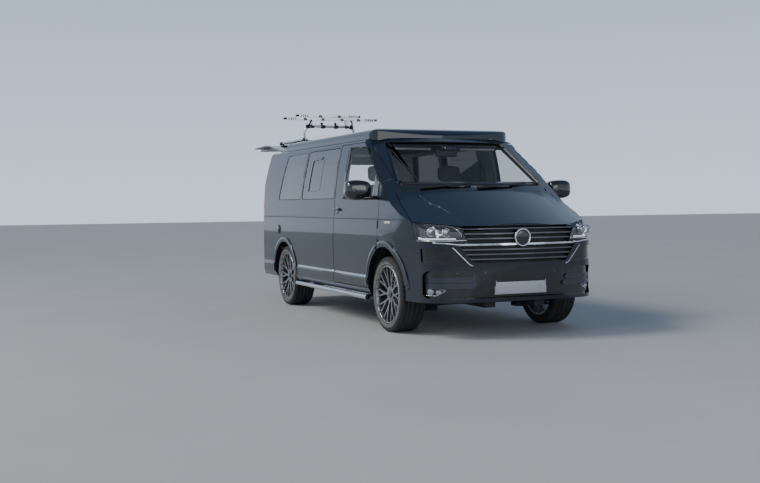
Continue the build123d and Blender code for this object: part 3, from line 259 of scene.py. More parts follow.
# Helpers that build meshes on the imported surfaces
def search_tree(*names):
    """One search tree over the meshes of several nodes."""
    points, faces = [], []
    for name in names:
        mesh = nodes[name].data
        start = len(points)
        points += [v.co.copy() for v in mesh.vertices]
        faces += [[start + i for i in p.vertices] for p in mesh.polygons]
    return BVHTree.FromPolygons(points, faces)


# Rays start this far out, and move aside a little where they miss
stand_off = 3
nudges = (0.0, 0.001, -0.001, 0.004, -0.004)


def land(tree, point, ray):
    """Where a ray through a point meets the surface, with the normal that looks back along it."""
    ray = Vector(ray).normalized()
    for aside in nudges:
        start = Vector(point) + Vector((aside, aside, aside)) - ray * stand_off
        spot, normal, index, distance = tree.ray_cast(start, ray)
        if spot is not None:
            break
    if spot is None:
        spot, normal, index, distance = tree.find_nearest(Vector(point))
    return spot, (-normal if normal.dot(ray) > 0 else normal)


def add_piece(name, data, body=None):
    """A named object in the scene, which rides on a body if one is given."""
    piece = bpy.data.objects.new(name, data)
    bpy.context.collection.objects.link(piece)
    if body:
        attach(piece, body)
    return piece


def build(name, points, faces, look, body="body", smooth=True):
    """A piece from points and faces."""
    mesh = bpy.data.meshes.new(name)
    mesh.from_pydata([tuple(p) for p in points], [], faces)
    work = bmesh.new()
    work.from_mesh(mesh)
    bmesh.ops.recalc_face_normals(work, faces=work.faces)
    work.to_mesh(mesh)
    work.free()
    for polygon in mesh.polygons:
        polygon.use_smooth = smooth
    mesh.materials.append(looks[look])
    return add_piece(name, mesh, body)


# The share of its sides that a rounded corner may take
side_share = 0.45


def rounded(path, radius, closed=True, steps=5):
    """A path of points with its corners rounded."""
    path = [Vector(p) for p in path]
    count = len(path)
    made = []
    for k, corner in enumerate(path):
        if not closed and k in (0, count - 1):
            made.append(corner)
            continue
        before, after = path[k - 1], path[(k + 1) % count]
        reach = min(radius, *[(end - corner).length * side_share for end in (before, after)])
        a = corner + (before - corner).normalized() * reach
        b = corner + (after - corner).normalized() * reach
        for j in range(steps + 1):
            t = j / steps
            made.append(a * (1 - t) ** 2 + corner * 2 * t * (1 - t) + b * t * t)
    return made


def bent(path, radius):
    """An open path with its corners rounded."""
    return rounded(path, radius, closed=False)


def spaced(path, closed, step):
    """A path with points at an even spacing."""
    path = [Vector(p) for p in path]
    made = []
    for a, b in zip(path, path[1:] + (path[:1] if closed else [])):
        count = max(1, round((b - a).length / step))
        made += [a.lerp(b, k / count) for k in range(count)]
    return made if closed else made + [path[-1]]


def skin(rows, size, closed=False, capped=True):
    """Faces between rows of points that each go once round."""
    faces = []
    for row in range(rows if closed else rows - 1):
        a, b = row * size, ((row + 1) % rows) * size
        faces += [(a + j, a + (j + 1) % size, b + (j + 1) % size, b + j) for j in range(size)]
    if capped and not closed:
        faces += [tuple(range(size)), tuple(range((rows - 1) * size, rows * size))]
    return faces


def strip(name, path, ray, tree, look, width, height, body="body", closed=False, step=0.02, sink=0.0015):
    """A moulding that lies on a surface along a path."""
    path = spaced(path, closed, step)
    landed = [land(tree, p, ray) for p in path]
    spots = [spot for spot, normal in landed]
    normals = [normal for spot, normal in landed]
    count = len(spots)
    shoulder, crown = height * 0.55, 0.36
    rise = ((-0.5, -sink), (-0.5, shoulder), (-crown, height))
    section = rise + tuple((-u, h) for u, h in reversed(rise))
    points = []
    for k in range(count):
        inner = closed or 0 < k < count - 1
        before = spots[k - 1] if closed or k else spots[k]
        after = spots[(k + 1) % count] if closed or k < count - 1 else spots[k]
        normal = (normals[k - 1] + normals[k] * 2 + normals[(k + 1) % count]) if inner else normals[k]
        normal = normal.normalized()
        side = (after - before).cross(normal).normalized()
        points += [spots[k] + side * (u * width) + normal * h for u, h in section]
    return build(name, points, skin(count, len(section), closed), look, body)


def patch(name, edge_a, edge_b, ray, tree, look, body="body", height=0.002, rows=6, step=0.02, sink=0.0015):
    """A thin panel on a surface between two edges, each a path with as many points."""
    longest = max((Vector(q) - Vector(p)).length for p, q in zip(edge_a, edge_a[1:]))
    count = max(2, round(longest / step))
    a, b = [], []
    for edge, made in ((edge_a, a), (edge_b, b)):
        for p, q in zip(edge, edge[1:]):
            made += [Vector(p).lerp(Vector(q), k / count) for k in range(count)]
        made.append(Vector(edge[-1]))
    points, faces = [], []
    long = len(a)
    for level in (height, -sink):
        for row in range(rows + 1):
            for p, q in zip(a, b):
                spot, normal = land(tree, p.lerp(q, row / rows), ray)
                points.append(spot + normal * level)
    layer = long * (rows + 1)
    for row in range(rows):
        for k in range(long - 1):
            i = row * long + k
            faces.append((i, i + 1, i + long + 1, i + long))
            faces.append((layer + i, layer + i + long, layer + i + long + 1, layer + i + 1))
    rim = [k for k in range(long)] + [row * long + long - 1 for row in range(1, rows + 1)]
    rim += [rows * long + k for k in range(long - 2, -1, -1)] + [row * long
        for row in range(rows - 1, 0, -1)]
    faces += [(i, j, j + layer, i + layer) for i, j in zip(rim, rim[1:] + rim[:1])]
    return build(name, points, faces, look, body)


def lathe(name, profile, centre, axis, look, segments=48, body="body", closed=False, smooth=True):
    """Radius and height pairs turned about an axis."""
    axis = Vector(axis).normalized()
    start = axis.orthogonal().normalized()
    other = axis.cross(start)
    centre = Vector(centre)
    points, faces = [], []
    for k in range(segments):
        turn = 2 * pi * k / segments
        out = start * cos(turn) + other * sin(turn)
        points += [centre + out * r + axis * h for r, h in profile]
    size = len(profile)
    for k in range(segments):
        a, b = k * size, ((k + 1) % segments) * size
        faces += [(a + j, a + j + 1, b + j + 1, b + j) for j in range(size - 1)]
        if closed:
            faces.append((a + size - 1, a, b, b + size - 1))
    if not closed:
        faces.append(tuple(k * size for k in range(segments)))
        faces.append(tuple(k * size + size - 1 for k in range(segments)))
    return build(name, points, faces, look, body, smooth)


def rod(name, path, radius, look, sides=10, body="body", closed=False):
    """A round bar along a path."""
    path = [Vector(p) for p in path]
    count = len(path)
    points = []
    normal = None
    for k in range(count):
        before = path[k - 1] if closed or k else path[k]
        after = path[(k + 1) % count] if closed or k < count - 1 else path[k]
        along = (after - before).normalized()
        normal = along.orthogonal() if normal is None else (normal - along * normal.dot(along))
        normal = normal.normalized()
        other = along.cross(normal)
        turns = [2 * pi * j / sides for j in range(sides)]
        points += [path[k] + (normal * cos(turn) + other * sin(turn)) * radius for turn in turns]
    return build(name, points, skin(count, sides, closed), look, body)


def lump(name, centre, size, look, round_by=0.3, body="body", turn=0.0, segments=3):
    """A moulded block with rounded corners, turned about the car's cross axis."""
    work = bmesh.new()
    bmesh.ops.create_cube(work, size=1)
    bmesh.ops.scale(work, vec=Vector(size), verts=work.verts)
    bmesh.ops.bevel(work, geom=work.edges[:], offset=min(size) * round_by, segments=segments, profile=0.6,
        affect="EDGES")
    bmesh.ops.rotate(work, cent=(0, 0, 0), matrix=Matrix.Rotation(radians(turn), 3, "Y"), verts=work.verts)
    bmesh.ops.translate(work, vec=Vector(centre), verts=work.verts)
    mesh = bpy.data.meshes.new(name)
    work.to_mesh(mesh)
    work.free()
    for polygon in mesh.polygons:
        polygon.use_smooth = True
    mesh.materials.append(looks[look])
    return add_piece(name, mesh, body)


def join(name, pieces):
    """Several meshes on one body as one piece."""
    work = bmesh.new()
    slots = []
    for piece in pieces:
        look = piece.data.materials[0]
        if look not in slots:
            slots.append(look)
        start = len(work.faces)
        copy = piece.data.copy()
        copy.transform(piece.matrix_world)
        work.from_mesh(copy)
        work.faces.ensure_lookup_table()
        for face in work.faces[start:]:
            face.material_index = slots.index(look)
        bpy.data.meshes.remove(copy)
    body = pieces[0]["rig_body"]
    for piece in pieces:
        bpy.data.objects.remove(piece)
    mesh = bpy.data.meshes.new(name)
    work.to_mesh(mesh)
    work.free()
    for look in slots:
        mesh.materials.append(look)
    return add_piece(name, mesh, body)


def repaint(name, picks):
    """Give the faces of a node that a test picks another look."""
    mesh = nodes[name].data
    for look, test in picks:
        mesh.materials.append(looks[look])
        index = len(mesh.materials) - 1
        for polygon in mesh.polygons:
            if test(polygon.center, polygon.normal):
                polygon.material_index = index


def in_band(z, bands, slack=0.0012):
    """Whether a height lies in one of the bands."""
    return any(low - slack <= z <= high + slack for low, high in bands)


def from_badge(c):
    """How far a point of the grille lies from the middle of the badge."""
    return Vector((c.y, c.z - badge_z)).length


# Grille and bumper trims: slats, mesh, the bright bar and the plate's place
badge_z = 0.884
slat_bands = ((0.958, 0.97), (0.914, 0.926), (0.872, 0.884), (0.776, 0.788), (0.734, 0.746), (0.692, 0.704))
bright_band = ((0.818, 0.834),)
intake_bands = ((0.498, 0.541), (0.445, 0.49))
repaint("grille", [
    ("mesh_black", lambda c, n: not in_band(c.z, slat_bands + bright_band)),
    ("bright_steel", lambda c, n: in_band(c.z, bright_band) and from_badge(c) > 0.083),
    ("badge_dark", lambda c, n: from_badge(c) < 0.082 and c.x > 2.936),
])
repaint("bumper_trims", [
    ("recess_black", lambda c, n: c.z < 0.62),
    ("slat_dark", lambda c, n: abs(c.y) > 0.43 and in_band(c.z, intake_bands)),
    ("plate_grey", lambda c, n: abs(c.y) < 0.2625 and 0.386 <= c.z <= 0.516 and n.x > 0.99),
])


def at(x, z):
    """A point in the car's middle plane, which leads a ray to the side."""
    return (x, 0, z)


def line(start, end, z):
    """A level line in the middle plane."""
    return [at(start, z), at(end, z)]


# Sides: seals, lines, a bright strip of painted highlight along the ledge, lamps and handles
paint_side = search_tree("front_bumper", "side_panel_right", "side_panel_left", "door_left", "door_right",
    "front_wings", "sliding_door", "side_windows", "door_glass_left", "door_glass_right", "rear_bumper")
door_rear = 0.749
sill_z, seal_z, ledge_z, crease_z, handle_z = 1.246, 1.248, 0.494, 1.044, 1.13
pillar_x, pillar_top_x, pillar_top_z, pillar_slope = 1.883, 1.458, 1.756, 0.808
slope_top = pillar_top_z - (pillar_x - pillar_top_x) * pillar_slope
cab_window = rounded([at(0.98, seal_z), at(pillar_x, seal_z), at(pillar_x, slope_top), at(1.44, 1.754),
    at(0.971, 1.76)], 0.036)
rear_window = rounded([at(-0.38, sill_z), at(-0.309, 1.772), at(-1.031, 1.762), at(-1.2, sill_z)], 0.04)
pane = rounded([at(-0.129, 1.332), at(-0.084, 1.689), at(0.262, 1.693), at(0.24, 1.336)], 0.03)
pane_seal = bent([at(-0.129, 1.335), at(-0.086, 1.683), at(0.2, 1.69)], 0.03)
slide_seam = bent([at(0.689, 0.4), at(0.689, 1.79), at(-0.287, 1.79), at(-0.358, 1.24), at(-0.358, 0.78)],
    0.03)
for side, name in both_sides:
    ray = (0, -side, 0)
    door = f"door_{name}"
    front_margin, rear_margin = (0.092, 0.042) if side > 0 else (0.033, 0.0)
    front_x = door_rear - front_margin
    middle_window = rounded([at(front_x, sill_z), at(front_x - 0.008, 1.776),
        at(-0.269 + rear_margin, 1.776), at(-0.34 + rear_margin, sill_z)], 0.04)
    # Columns: name, path, look, width, height, and where they differ body, closed and spacing
    strips = [
        ("door_window_seal", cab_window, "trim_black", 0.012, 0.0025, door, True, 0.03),
        ("door_rear_seal", [at(0.992, 1.252), at(0.986, 1.754)], "gloss_black", 0.042, 0.004, door),
        ("door_belt_seal", line(0.965, 1.905, sill_z), "trim_black", 0.014, 0.006, door),
        ("middle_window_seal", middle_window, "trim_black", 0.007, 0.0016, "body", True, 0.03),
        ("rear_window_seal", rear_window, "trim_black", 0.007, 0.0016, "body", True, 0.03),
        ("slide_pane_line", pane, "gloss_black", 0.006, 0.002, "body", True, 0.03),
        ("slide_pane_seal", pane_seal, "gloss_black", 0.032, 0.007),
        # The ledge strips are a painted highlight along the sill ledge
        ("ledge_side", line(-0.455, 0.738, ledge_z), "ledge_bright", 0.022, 0.002, "body", False, 0.05),
        ("ledge_door", line(0.77, 1.665, ledge_z), "ledge_bright", 0.022, 0.002, door, False, 0.05),
        ("crease_wing", line(1.945, 2.56, crease_z), "shadow", 0.005, 0.0008, "body", False, 0.04),
        ("crease_door", line(0.77, 1.91, crease_z), "shadow", 0.005, 0.0008, door, False, 0.05),
        ("crease_side", line(-1.78, 0.735, crease_z), "shadow", 0.005, 0.0008, "body", False, 0.05),
        ("repeater", line(2.1, 2.235, 1.018), "lens_white", 0.022, 0.006),
        ("rear_reflector", line(-1.4, -1.48, 0.5), "lens_red", 0.018, 0.003),
    ]
    for label, path, *form in strips:
        strip(f"{label}_{name}", path, ray, paint_side, *form)
    # Black foot of the front pillar, which carries the mirror
    patch(f"pillar_foot_{name}", [at(1.905, 1.25), at(1.905, 1.395)], [at(1.752, 1.25), at(1.8, 1.468)],
        ray, paint_side, "gloss_black", door, height=0.004, rows=8)
    # Handles: a grip on two feet over a bowl
    grips = [("cab", 0.832, door), ("slide", 0.6, "body")]
    for label, x, body in grips[:1 if side < 0 else 2]:
        spot, normal = land(paint_side, at(x, handle_z), ray)
        bowl = lathe("bowl", [(0.001, 0.0022), (0.03, 0.0026), (0.043, 0.0016), (0.046, -0.002)], spot,
            normal, "recess_black", 28, body)
        grip = strip("grip", line(x - 0.072, x + 0.072, handle_z + 0.004), ray, paint_side, "gloss_black",
            0.026, 0.024, body, sink=-0.008)
        feet = [lump("foot", spot + Vector((dx, side * 0.004, 0.004)), (0.026, 0.026, 0.024), "gloss_black",
            body=body) for dx in (-0.066, 0.066)]
        join(f"handle_{label}_{name}", [bowl, grip, *feet])

# Seam and rail of the sliding door on the left side
rightward = (0, -1, 0)
strip("sliding_door_seam", slide_seam, rightward, paint_side, "shadow", 0.006, 0.0008, step=0.04)
strip("sliding_rail", line(-0.37, -1.62, 1.085), rightward, paint_side, "gloss_black", 0.026, 0.003,
    step=0.05)

# Hook-up inlet on the right side
inlet, outward = land(paint_side, (-1.119, 0, 0.895), (0, 1, 0))
lathe("inlet_frame", [(0.001, 0.006), (0.04, 0.007), (0.052, 0.006), (0.056, -0.002)], inlet, outward,
    "trim_black", 32)
lathe("inlet_lid", [(0.001, 0.014), (0.034, 0.013), (0.038, 0.006)], inlet, outward, "gloss_black", 32)


# Planes before the windscreen and the nose, whose points lead rays to the surface
screen_x, nose_x = 2.4, 3


def screen_corners(foot, foot_z, top, top_z):
    """Corners of a frame on the windscreen, from its half widths and heights."""
    return [(screen_x, -foot, foot_z), (screen_x, foot, foot_z), (screen_x, top, top_z),
        (screen_x, -top, top_z)]


def ahead_of(side, *pairs):
    """Points in front of one half of the face, from pairs of y and z."""
    return [(nose_x, side * y, z) for y, z in pairs]


# Black surround printed on the windscreen, and its seal
backward, forward = (-1, 0, 0), (1, 0, 0)
screen_tree = search_tree("windscreen")
outer = screen_corners(0.77, 1.356, 0.64, 1.796)
inner = screen_corners(0.728, 1.392, 0.606, 1.756)
for k in range(4):
    following = (k + 1) % 4
    patch(f"screen_print_{k}", [outer[k], outer[following]], [inner[k], inner[following]], backward,
        screen_tree, "gloss_black", height=0.0008, rows=2, step=0.05, sink=0.0)
strip("screen_seal", rounded(screen_corners(0.776, 1.351, 0.643, 1.8), 0.046), backward, screen_tree,
    "trim_black", 0.016, 0.01, closed=True, step=0.04)

# Face: bright lines, the bare disc and the blank plate
skin_front = search_tree("front_bumper", "headlamp_lenses", "front_wings", "bonnet")
for side, name in both_sides:
    slant = bent(ahead_of(side, (0.644, 0.802), (0.576, 0.73), (0.5, 0.652), (0.468, 0.64)), 0.03)
    strip(f"slant_bar_{name}", slant, backward, skin_front, "bright_satin", 0.012, 0.006)
    strip(f"chrome_end_{name}", ahead_of(side, (0.588, 0.826), (0.7, 0.84), (0.8, 0.846)), backward,
        skin_front, "bright_steel", 0.012, 0.005)
    strip(f"lamp_lower_line_{name}", ahead_of(side, (0.525, 0.866), (0.7, 0.861), (0.875, 0.862)), backward,
        skin_front, "bright_steel", 0.007, 0.003)
strip("bonnet_lip_line", [(nose_x, -0.56, 0.9845), (nose_x, 0.56, 0.9845)], backward, search_tree("grille"),
    "slat_dark", 0.006, 0.003, step=0.04)
badge = Vector((2.992, 0, badge_z))
lathe("badge_ring", [(0.066, -0.004), (0.068, 0.0035), (0.074, 0.005), (0.08, 0.003), (0.081, -0.012)],
    badge, forward, "bright_steel", 56, closed=True)
lathe("badge_disc", [(0.0005, 0.0035), (0.03, 0.003), (0.055, 0.0012), (0.066, -0.0005), (0.067, -0.004)],
    badge, forward, "badge_dark", 48)
plate_x = 2.952
lump("number_plate", (plate_x + 0.004, 0, 0.451), (0.006, 0.506, 0.112), "plate_grey", segments=2)
for k, y in enumerate((-0.19, 0.19)):
    lathe(f"plate_screw_{k}", [(0.0005, 0.006), (0.007, 0.0055), (0.0105, 0.002), (0.011, -0.002)],
        (plate_x + 0.007, y, 0.452), forward, "bright_satin", 18)

# Tyres: radius and half width of the moulded side, then half widths across the tread
wheel_y, wheel_z = 0.802, 0.35
tread_radius, groove, cross_cut = 0.35, 0.007, 0.00525
shoulder_radius, shoulder_cut = 0.34, 0.003
dust_width, dust_low, dust_high = 0.1, 0.273, 0.3
tread_turns = 144
tyre_side = [(0.2685, 0.106), (0.27, 0.1125), (0.274, 0.1165), (0.279, 0.1185), (0.283, 0.1205),
    (0.286, 0.1192), (0.299, 0.1225), (0.308, 0.1236), (0.318, 0.1232), (0.329, 0.1205), (0.337, 0.1165),
    (0.3425, 0.1115), (0.3465, 0.105), (0.349, 0.097)]
tread_columns = [(0.0965, "rib"), (0.068, "rib"), (0.0668, "groove"), (0.0582, "groove"), (0.057, "rib"),
    (0.03, "rib"), (0.0288, "groove"), (0.0202, "groove"), (0.019, "rib")]


def tyre(name, x, side, body):
    """A tyre with grooves, cross cuts and a dusty ring on its side."""
    profile = [(r, h, "side") for r, h in tyre_side]
    profile += [(tread_radius, h, kind) for h, kind in tread_columns]
    profile += [(r, -h, kind) for r, h, kind in reversed(profile)]
    centre = Vector((x, side * wheel_y, wheel_z))
    points = []
    for k in range(tread_turns):
        turn = 2 * pi * k / tread_turns
        cut = k % 3 == 0
        for r, h, kind in profile:
            if kind == "groove":
                r -= groove
            elif kind == "rib" and cut:
                r -= cross_cut
            elif kind == "side" and cut and r > shoulder_radius:
                r -= shoulder_cut
            points.append(centre + Vector((cos(turn) * r, side * h, sin(turn) * r)))
    size = len(profile)
    piece = build(name, points, skin(tread_turns, size, closed=True), "tyre", body)
    piece.data.materials.append(looks["tyre_dust"])
    dusty = [h > dust_width and dust_low <= r <= dust_high for r, h, kind in profile]
    for k, polygon in enumerate(piece.data.polygons):
        polygon.material_index = 1 if dusty[k % size] else 0
    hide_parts(name.replace("rubber", "tyre"))
    return piece


# Wheels: tyres, and the small parts of the rims
lip_profile = [(0.2585, 0.1118), (0.259, 0.115), (0.263, 0.1165), (0.2678, 0.115), (0.2682, 0.1118)]
cap_profile = [(0.0005, 0.0965), (0.02, 0.0958), (0.029, 0.0935), (0.032, 0.0905), (0.0335, 0.0925),
    (0.036, 0.0905), (0.0365, 0.084)]
bolt_profile = [(0.0005, 0.087), (0.005, 0.087), (0.006, 0.09), (0.0098, 0.0895), (0.0105, 0.084)]
bolt_circle, valve_circle = 0.056, 0.246
for end, x in (("front", 2.09), ("rear", -0.91)):
    for side, name in both_sides:
        body = f"wheel_{end}_{name}"
        tyre(f"rubber_{end}_{name}", x, side, body)
        face = Vector((x, side * wheel_y, wheel_z))
        out = Vector((0, side, 0))
        parts = [lathe("lip", lip_profile, face, out, "bright_satin", 72, body, closed=True),
            lathe("cap", cap_profile, face, out, "badge_dark", 40, body)]
        for k in range(5):
            turn = 2 * pi * (k + 0.5) / 5
            spot = face + Vector((cos(turn), 0, sin(turn))) * bolt_circle
            parts.append(lathe("bolt", bolt_profile, spot, out, "bright_satin", 6, body, smooth=False))
        valve = face + Vector((cos(1.1), 0, sin(1.1))) * valve_circle
        parts.append(rod("valve", [valve + out * 0.07, valve + out * 0.108], 0.004, "trim_black", 8, body))
        join(f"wheel_trim_{end}_{name}", parts)

# Headlamps: bars of light, round reflectors and a bright border, and fog lamps in the lower recess
lamp_tree = search_tree("headlamps")
recess_tree = search_tree("bumper_trims", "front_bumper")
for side, name in both_sides:
    bar = bent(ahead_of(side, (0.885, 1.005), (0.872, 0.9), (0.845, 0.877), (0.6, 0.877)), 0.03)
    border = bent(ahead_of(side, (0.545, 0.885), (0.588, 0.984), (0.895, 1.016)), 0.03)
    parts = [
        strip("bar", bar, backward, lamp_tree, "lamp_light", 0.013, 0.008),
        strip("post", ahead_of(side, (0.745, 0.975), (0.745, 0.885)), backward, lamp_tree, "lamp_light",
            0.018, 0.01),
        strip("border", border, backward, lamp_tree, "bright_satin", 0.01, 0.006),
    ]
    for y, z, r in ((0.8, 0.94, 0.034), (0.69, 0.932, 0.034)):
        spot, normal = land(lamp_tree, (nose_x, side * y, z), backward)
        ring = [(r * 0.98, 0.001), (r * 1.05, 0.004), (r * 1.16, 0.003), (r * 1.2, -0.012)]
        bulb = [(0.0005, 0.0035), (r * 0.45, 0.003), (r * 0.8, 0.001), (r * 0.94, -0.001)]
        parts.append(lathe("ring", ring, spot, forward, "bright_steel", 36, closed=True))
        parts.append(lathe("bulb", bulb, spot, forward, "lens_glow", 36))
    join(f"lamp_parts_{name}", parts)
    fog = []
    for y, z, r in ((0.8, 0.416, 0.024), (0.748, 0.412, 0.019)):
        spot, normal = land(recess_tree, (nose_x, side * y, z), backward)
        lamp = [(0.0005, 0.008), (r * 0.6, 0.0075), (r, 0.005), (r * 1.15, 0.006), (r * 1.25, -0.004)]
        fog.append(lathe("fog", lamp, spot, normal, "lens_glow", 30))
    trim = bent(ahead_of(side, (0.842, 0.386), (0.76, 0.383), (0.69, 0.432), (0.74, 0.44)), 0.012)
    fog.append(strip("fog_line", trim, backward, recess_tree, "bright_satin", 0.006, 0.004))
    join(f"fog_lamp_{name}", fog)


def settle(piece):
    """Turn a piece and its modifiers into one plain mesh."""
    mesh = bpy.data.meshes.new_from_object(piece.evaluated_get(bpy.context.evaluated_depsgraph_get()))
    piece.modifiers.clear()
    piece.data = mesh


def swell(piece, voxel=0.012, pressure=4.0, cap=0.008, frames=14):
    """Blow a pad up as cloth, hold each point within the cap and keep the result."""
    settle(piece)
    remesh = piece.modifiers.new("remesh", "REMESH")
    remesh.mode = "VOXEL"
    remesh.voxel_size = voxel
    settle(piece)
    start = [v.co.copy() for v in piece.data.vertices]
    cloth = piece.modifiers.new("cloth", "CLOTH")
    cloth.settings.use_pressure = True
    cloth.settings.uniform_pressure_force = pressure
    cloth.settings.effector_weights.gravity = 0
    for number in range(1, frames + 1):
        bpy.context.scene.frame_set(number)
    settle(piece)
    for vertex, origin in zip(piece.data.vertices, start):
        move = vertex.co - origin
        if move.length > cap:
            vertex.co = origin + move.normalized() * cap
    for polygon in piece.data.polygons:
        polygon.use_smooth = True
    bpy.context.scene.frame_set(1)


# Padded pieces: crowned forms with rounded edges and sewn channels
pad_corner, pad_spacing, draw_in = 0.045, 0.02, 0.16
channel_depth, channel_reach, end_bulge = 0.007, 0.035, 0.004


def cushion(name, outline, y_mid, width, crown=0.012, channels=(), rows=10):
    """A side outline of x and z drawn across the car, full in the middle and drawn in at its ends."""
    path = spaced(rounded([(x, 0, z) for x, z in outline], pad_corner), True, pad_spacing)
    count = len(path)
    middle = sum(path, Vector()) / count
    points = []
    for row in range(rows * 2 + 1):
        t = row / rows - 1
        draw = 1 - draw_in * abs(t) ** 7
        fullness = crown * (1 - t * t)
        channel = sum(channel_depth * max(0, 1 - abs(t - c) / channel_reach) for c in channels)
        for p in path:
            out = (p - middle).normalized()
            spot = middle + (p - middle) * draw + out * (fullness - channel - crown)
            points.append(Vector((spot.x, y_mid + t * width / 2, spot.z)))
    faces = skin(rows * 2 + 1, count, capped=False)
    for row, turn in ((0, -1), (rows * 2, 1)):
        hub = len(points)
        rim = [row * count + k for k in range(count)]
        centre = sum((points[i] for i in rim), Vector()) / count
        points.append(centre + Vector((0, turn * end_bulge, 0)))
        faces += [(rim[k], rim[(k + 1) % count], hub) for k in range(count)]
    piece = build(name, points, faces, "seat_fabric")
    smooth = piece.modifiers.new("smooth", "SUBSURF")
    smooth.levels = smooth.render_levels = 1
    swell(piece)
    return piece


# Seats and bench: pads on plinths. Columns: name, outline from the foot, width, crown, channels
floor_top, seat_x, bench_x, bench_y, bench_width = 0.405, 1.11, -0.29, 0.115, 0.886
seat_pads = (
    ("seat_cushion", ((0.27, 0.3), (0.29, 0.4), (-0.15, 0.42), (-0.27, 0.3)), 0.486, 0.012, (-0.55, 0.55)),
    ("seat_back", ((-0.158, 0.424), (-0.302, 0.998), (-0.396, 0.998), (-0.292, 0.31)), 0.486, 0.012,
        (-0.5, 0.5)),
    ("head_rest", ((-0.312, 1.015), (-0.347, 1.188), (-0.423, 1.188), (-0.402, 1.015)), 0.258, 0.008, ()),
)
bench_pads = (
    ("bench_cushion", ((0.088, 0.272), (0.098, 0.4), (-0.33, 0.42), (-0.43, 0.272))),
    ("bench_back", ((-0.34, 0.424), (-0.472, 1.008), (-0.576, 1.008), (-0.452, 0.282))),
)
for name, y in (("right", -0.41), ("left", 0.41)):
    for label, outline, width, crown, channels in seat_pads:
        cushion(f"{label}_{name}", [(seat_x + dx, floor_top + dz) for dx, dz in outline], y, width, crown,
            channels)
    plinth = lump(f"seat_plinth_{name}", (seat_x - 0.01, y, floor_top + 0.15), (0.418, 0.378, 0.298),
        "dash_grey", 0.06)
    foot_x, foot_z, head_x, head_z = seat_x - 0.35, floor_top + 0.97, seat_x - 0.362, floor_top + 1.03
    posts = [rod("post", [(foot_x, y + dy, foot_z), (head_x, y + dy, head_z)], 0.006, "bright_satin")
        for dy in (-0.06, 0.06)]
    join(f"head_posts_{name}", posts)
    if name == "right":
        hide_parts("front_seats")
for label, outline in bench_pads:
    cushion(label, [(bench_x + dx, floor_top + dz) for dx, dz in outline], bench_y, bench_width,
        channels=(-0.01, 0.01), rows=14)
bench_box = lump("bench_box", (bench_x - 0.18, bench_y, floor_top + 0.135), (0.478, bench_width, 0.268),
    "cabinet", 0.04)
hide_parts("rear_bench")

# Steering wheel: a round rim, three spokes and a boss
tilt = radians(28)
along = Vector((-cos(tilt), 0, sin(tilt)))
across = Vector((0, 1, 0))
upward = across.cross(along).normalized()
hub = Vector((1.79, -0.4, 1.08)) + along * 0.143
turns = [2 * pi * k / 48 for k in range(48)]
ring = [hub + (across * cos(turn) + upward * sin(turn)) * 0.176 for turn in turns]
rim = rod("rim", ring, 0.0135, "dash_black", 12, closed=True)
spokes = [rod("spoke", [hub, hub + way * 0.17], 0.014, "dash_black", 8)
    for way in (across, -across, -upward)]
boss = lathe("boss", [(0.0005, 0.012), (0.035, 0.01), (0.055, 0.002), (0.058, -0.012)], hub, along,
    "dash_black", 36)
column = lathe("column", [(0.036, -0.143), (0.036, -0.02), (0.03, -0.01)], hub, along, "dash_grey", 28)
wheel_piece = join("steering_wheel_leather", [rim, *spokes, boss, column])
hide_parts("steering_wheel")

# Dashboard: a bright line, vents and a screen
parts = [strip("dash_line", [(1.765, -0.78, 1.13), (1.765, 0.78, 1.13)], forward, search_tree("dashboard"),
    "bright_satin", 0.008, 0.003, step=0.05)]
for y in (-0.7, 0.7, -0.12, 0.12):
    parts.append(lump("vent", (1.757, y, 1.175), (0.012, 0.12, 0.05), "gloss_black", turn=-6))
parts.append(lump("screen", (1.752, 0.0, 1.075), (0.016, 0.24, 0.13), "gloss_black", 0.2, turn=-6))
join("dash_parts", parts)

# Mirror, sensor box and sun visors at the top of the windscreen
parts = [lump("mirror", (1.5, 0, 1.69), (0.028, 0.235, 0.07), "gloss_black", 0.4, turn=8),
    lump("glass", (1.4855, 0, 1.688), (0.003, 0.215, 0.054), "mirror_glass", turn=8),
    rod("stalk", [(1.512, 0, 1.715), (1.53, 0, 1.768)], 0.008, "gloss_black"),
    lump("sensor", (1.56, 0, 1.746), (0.1, 0.13, 0.04), "gloss_black", 0.4, turn=34)]
join("cab_mirror", parts)
for name, y in (("right", -0.36), ("left", 0.36)):
    lump(f"sun_visor_{name}", (1.415, y, 1.755), (0.15, 0.4, 0.02), "visor_grey", 0.45, turn=20)

# Door mirrors: glass, a seam below, and one smooth shell on a foot
mirror_y, mirror_z, mirror_half_width, mirror_half_height = 1.1, 1.322, 0.127, 0.0925
shell_steps = 48
shell_power = 2 / 3.6
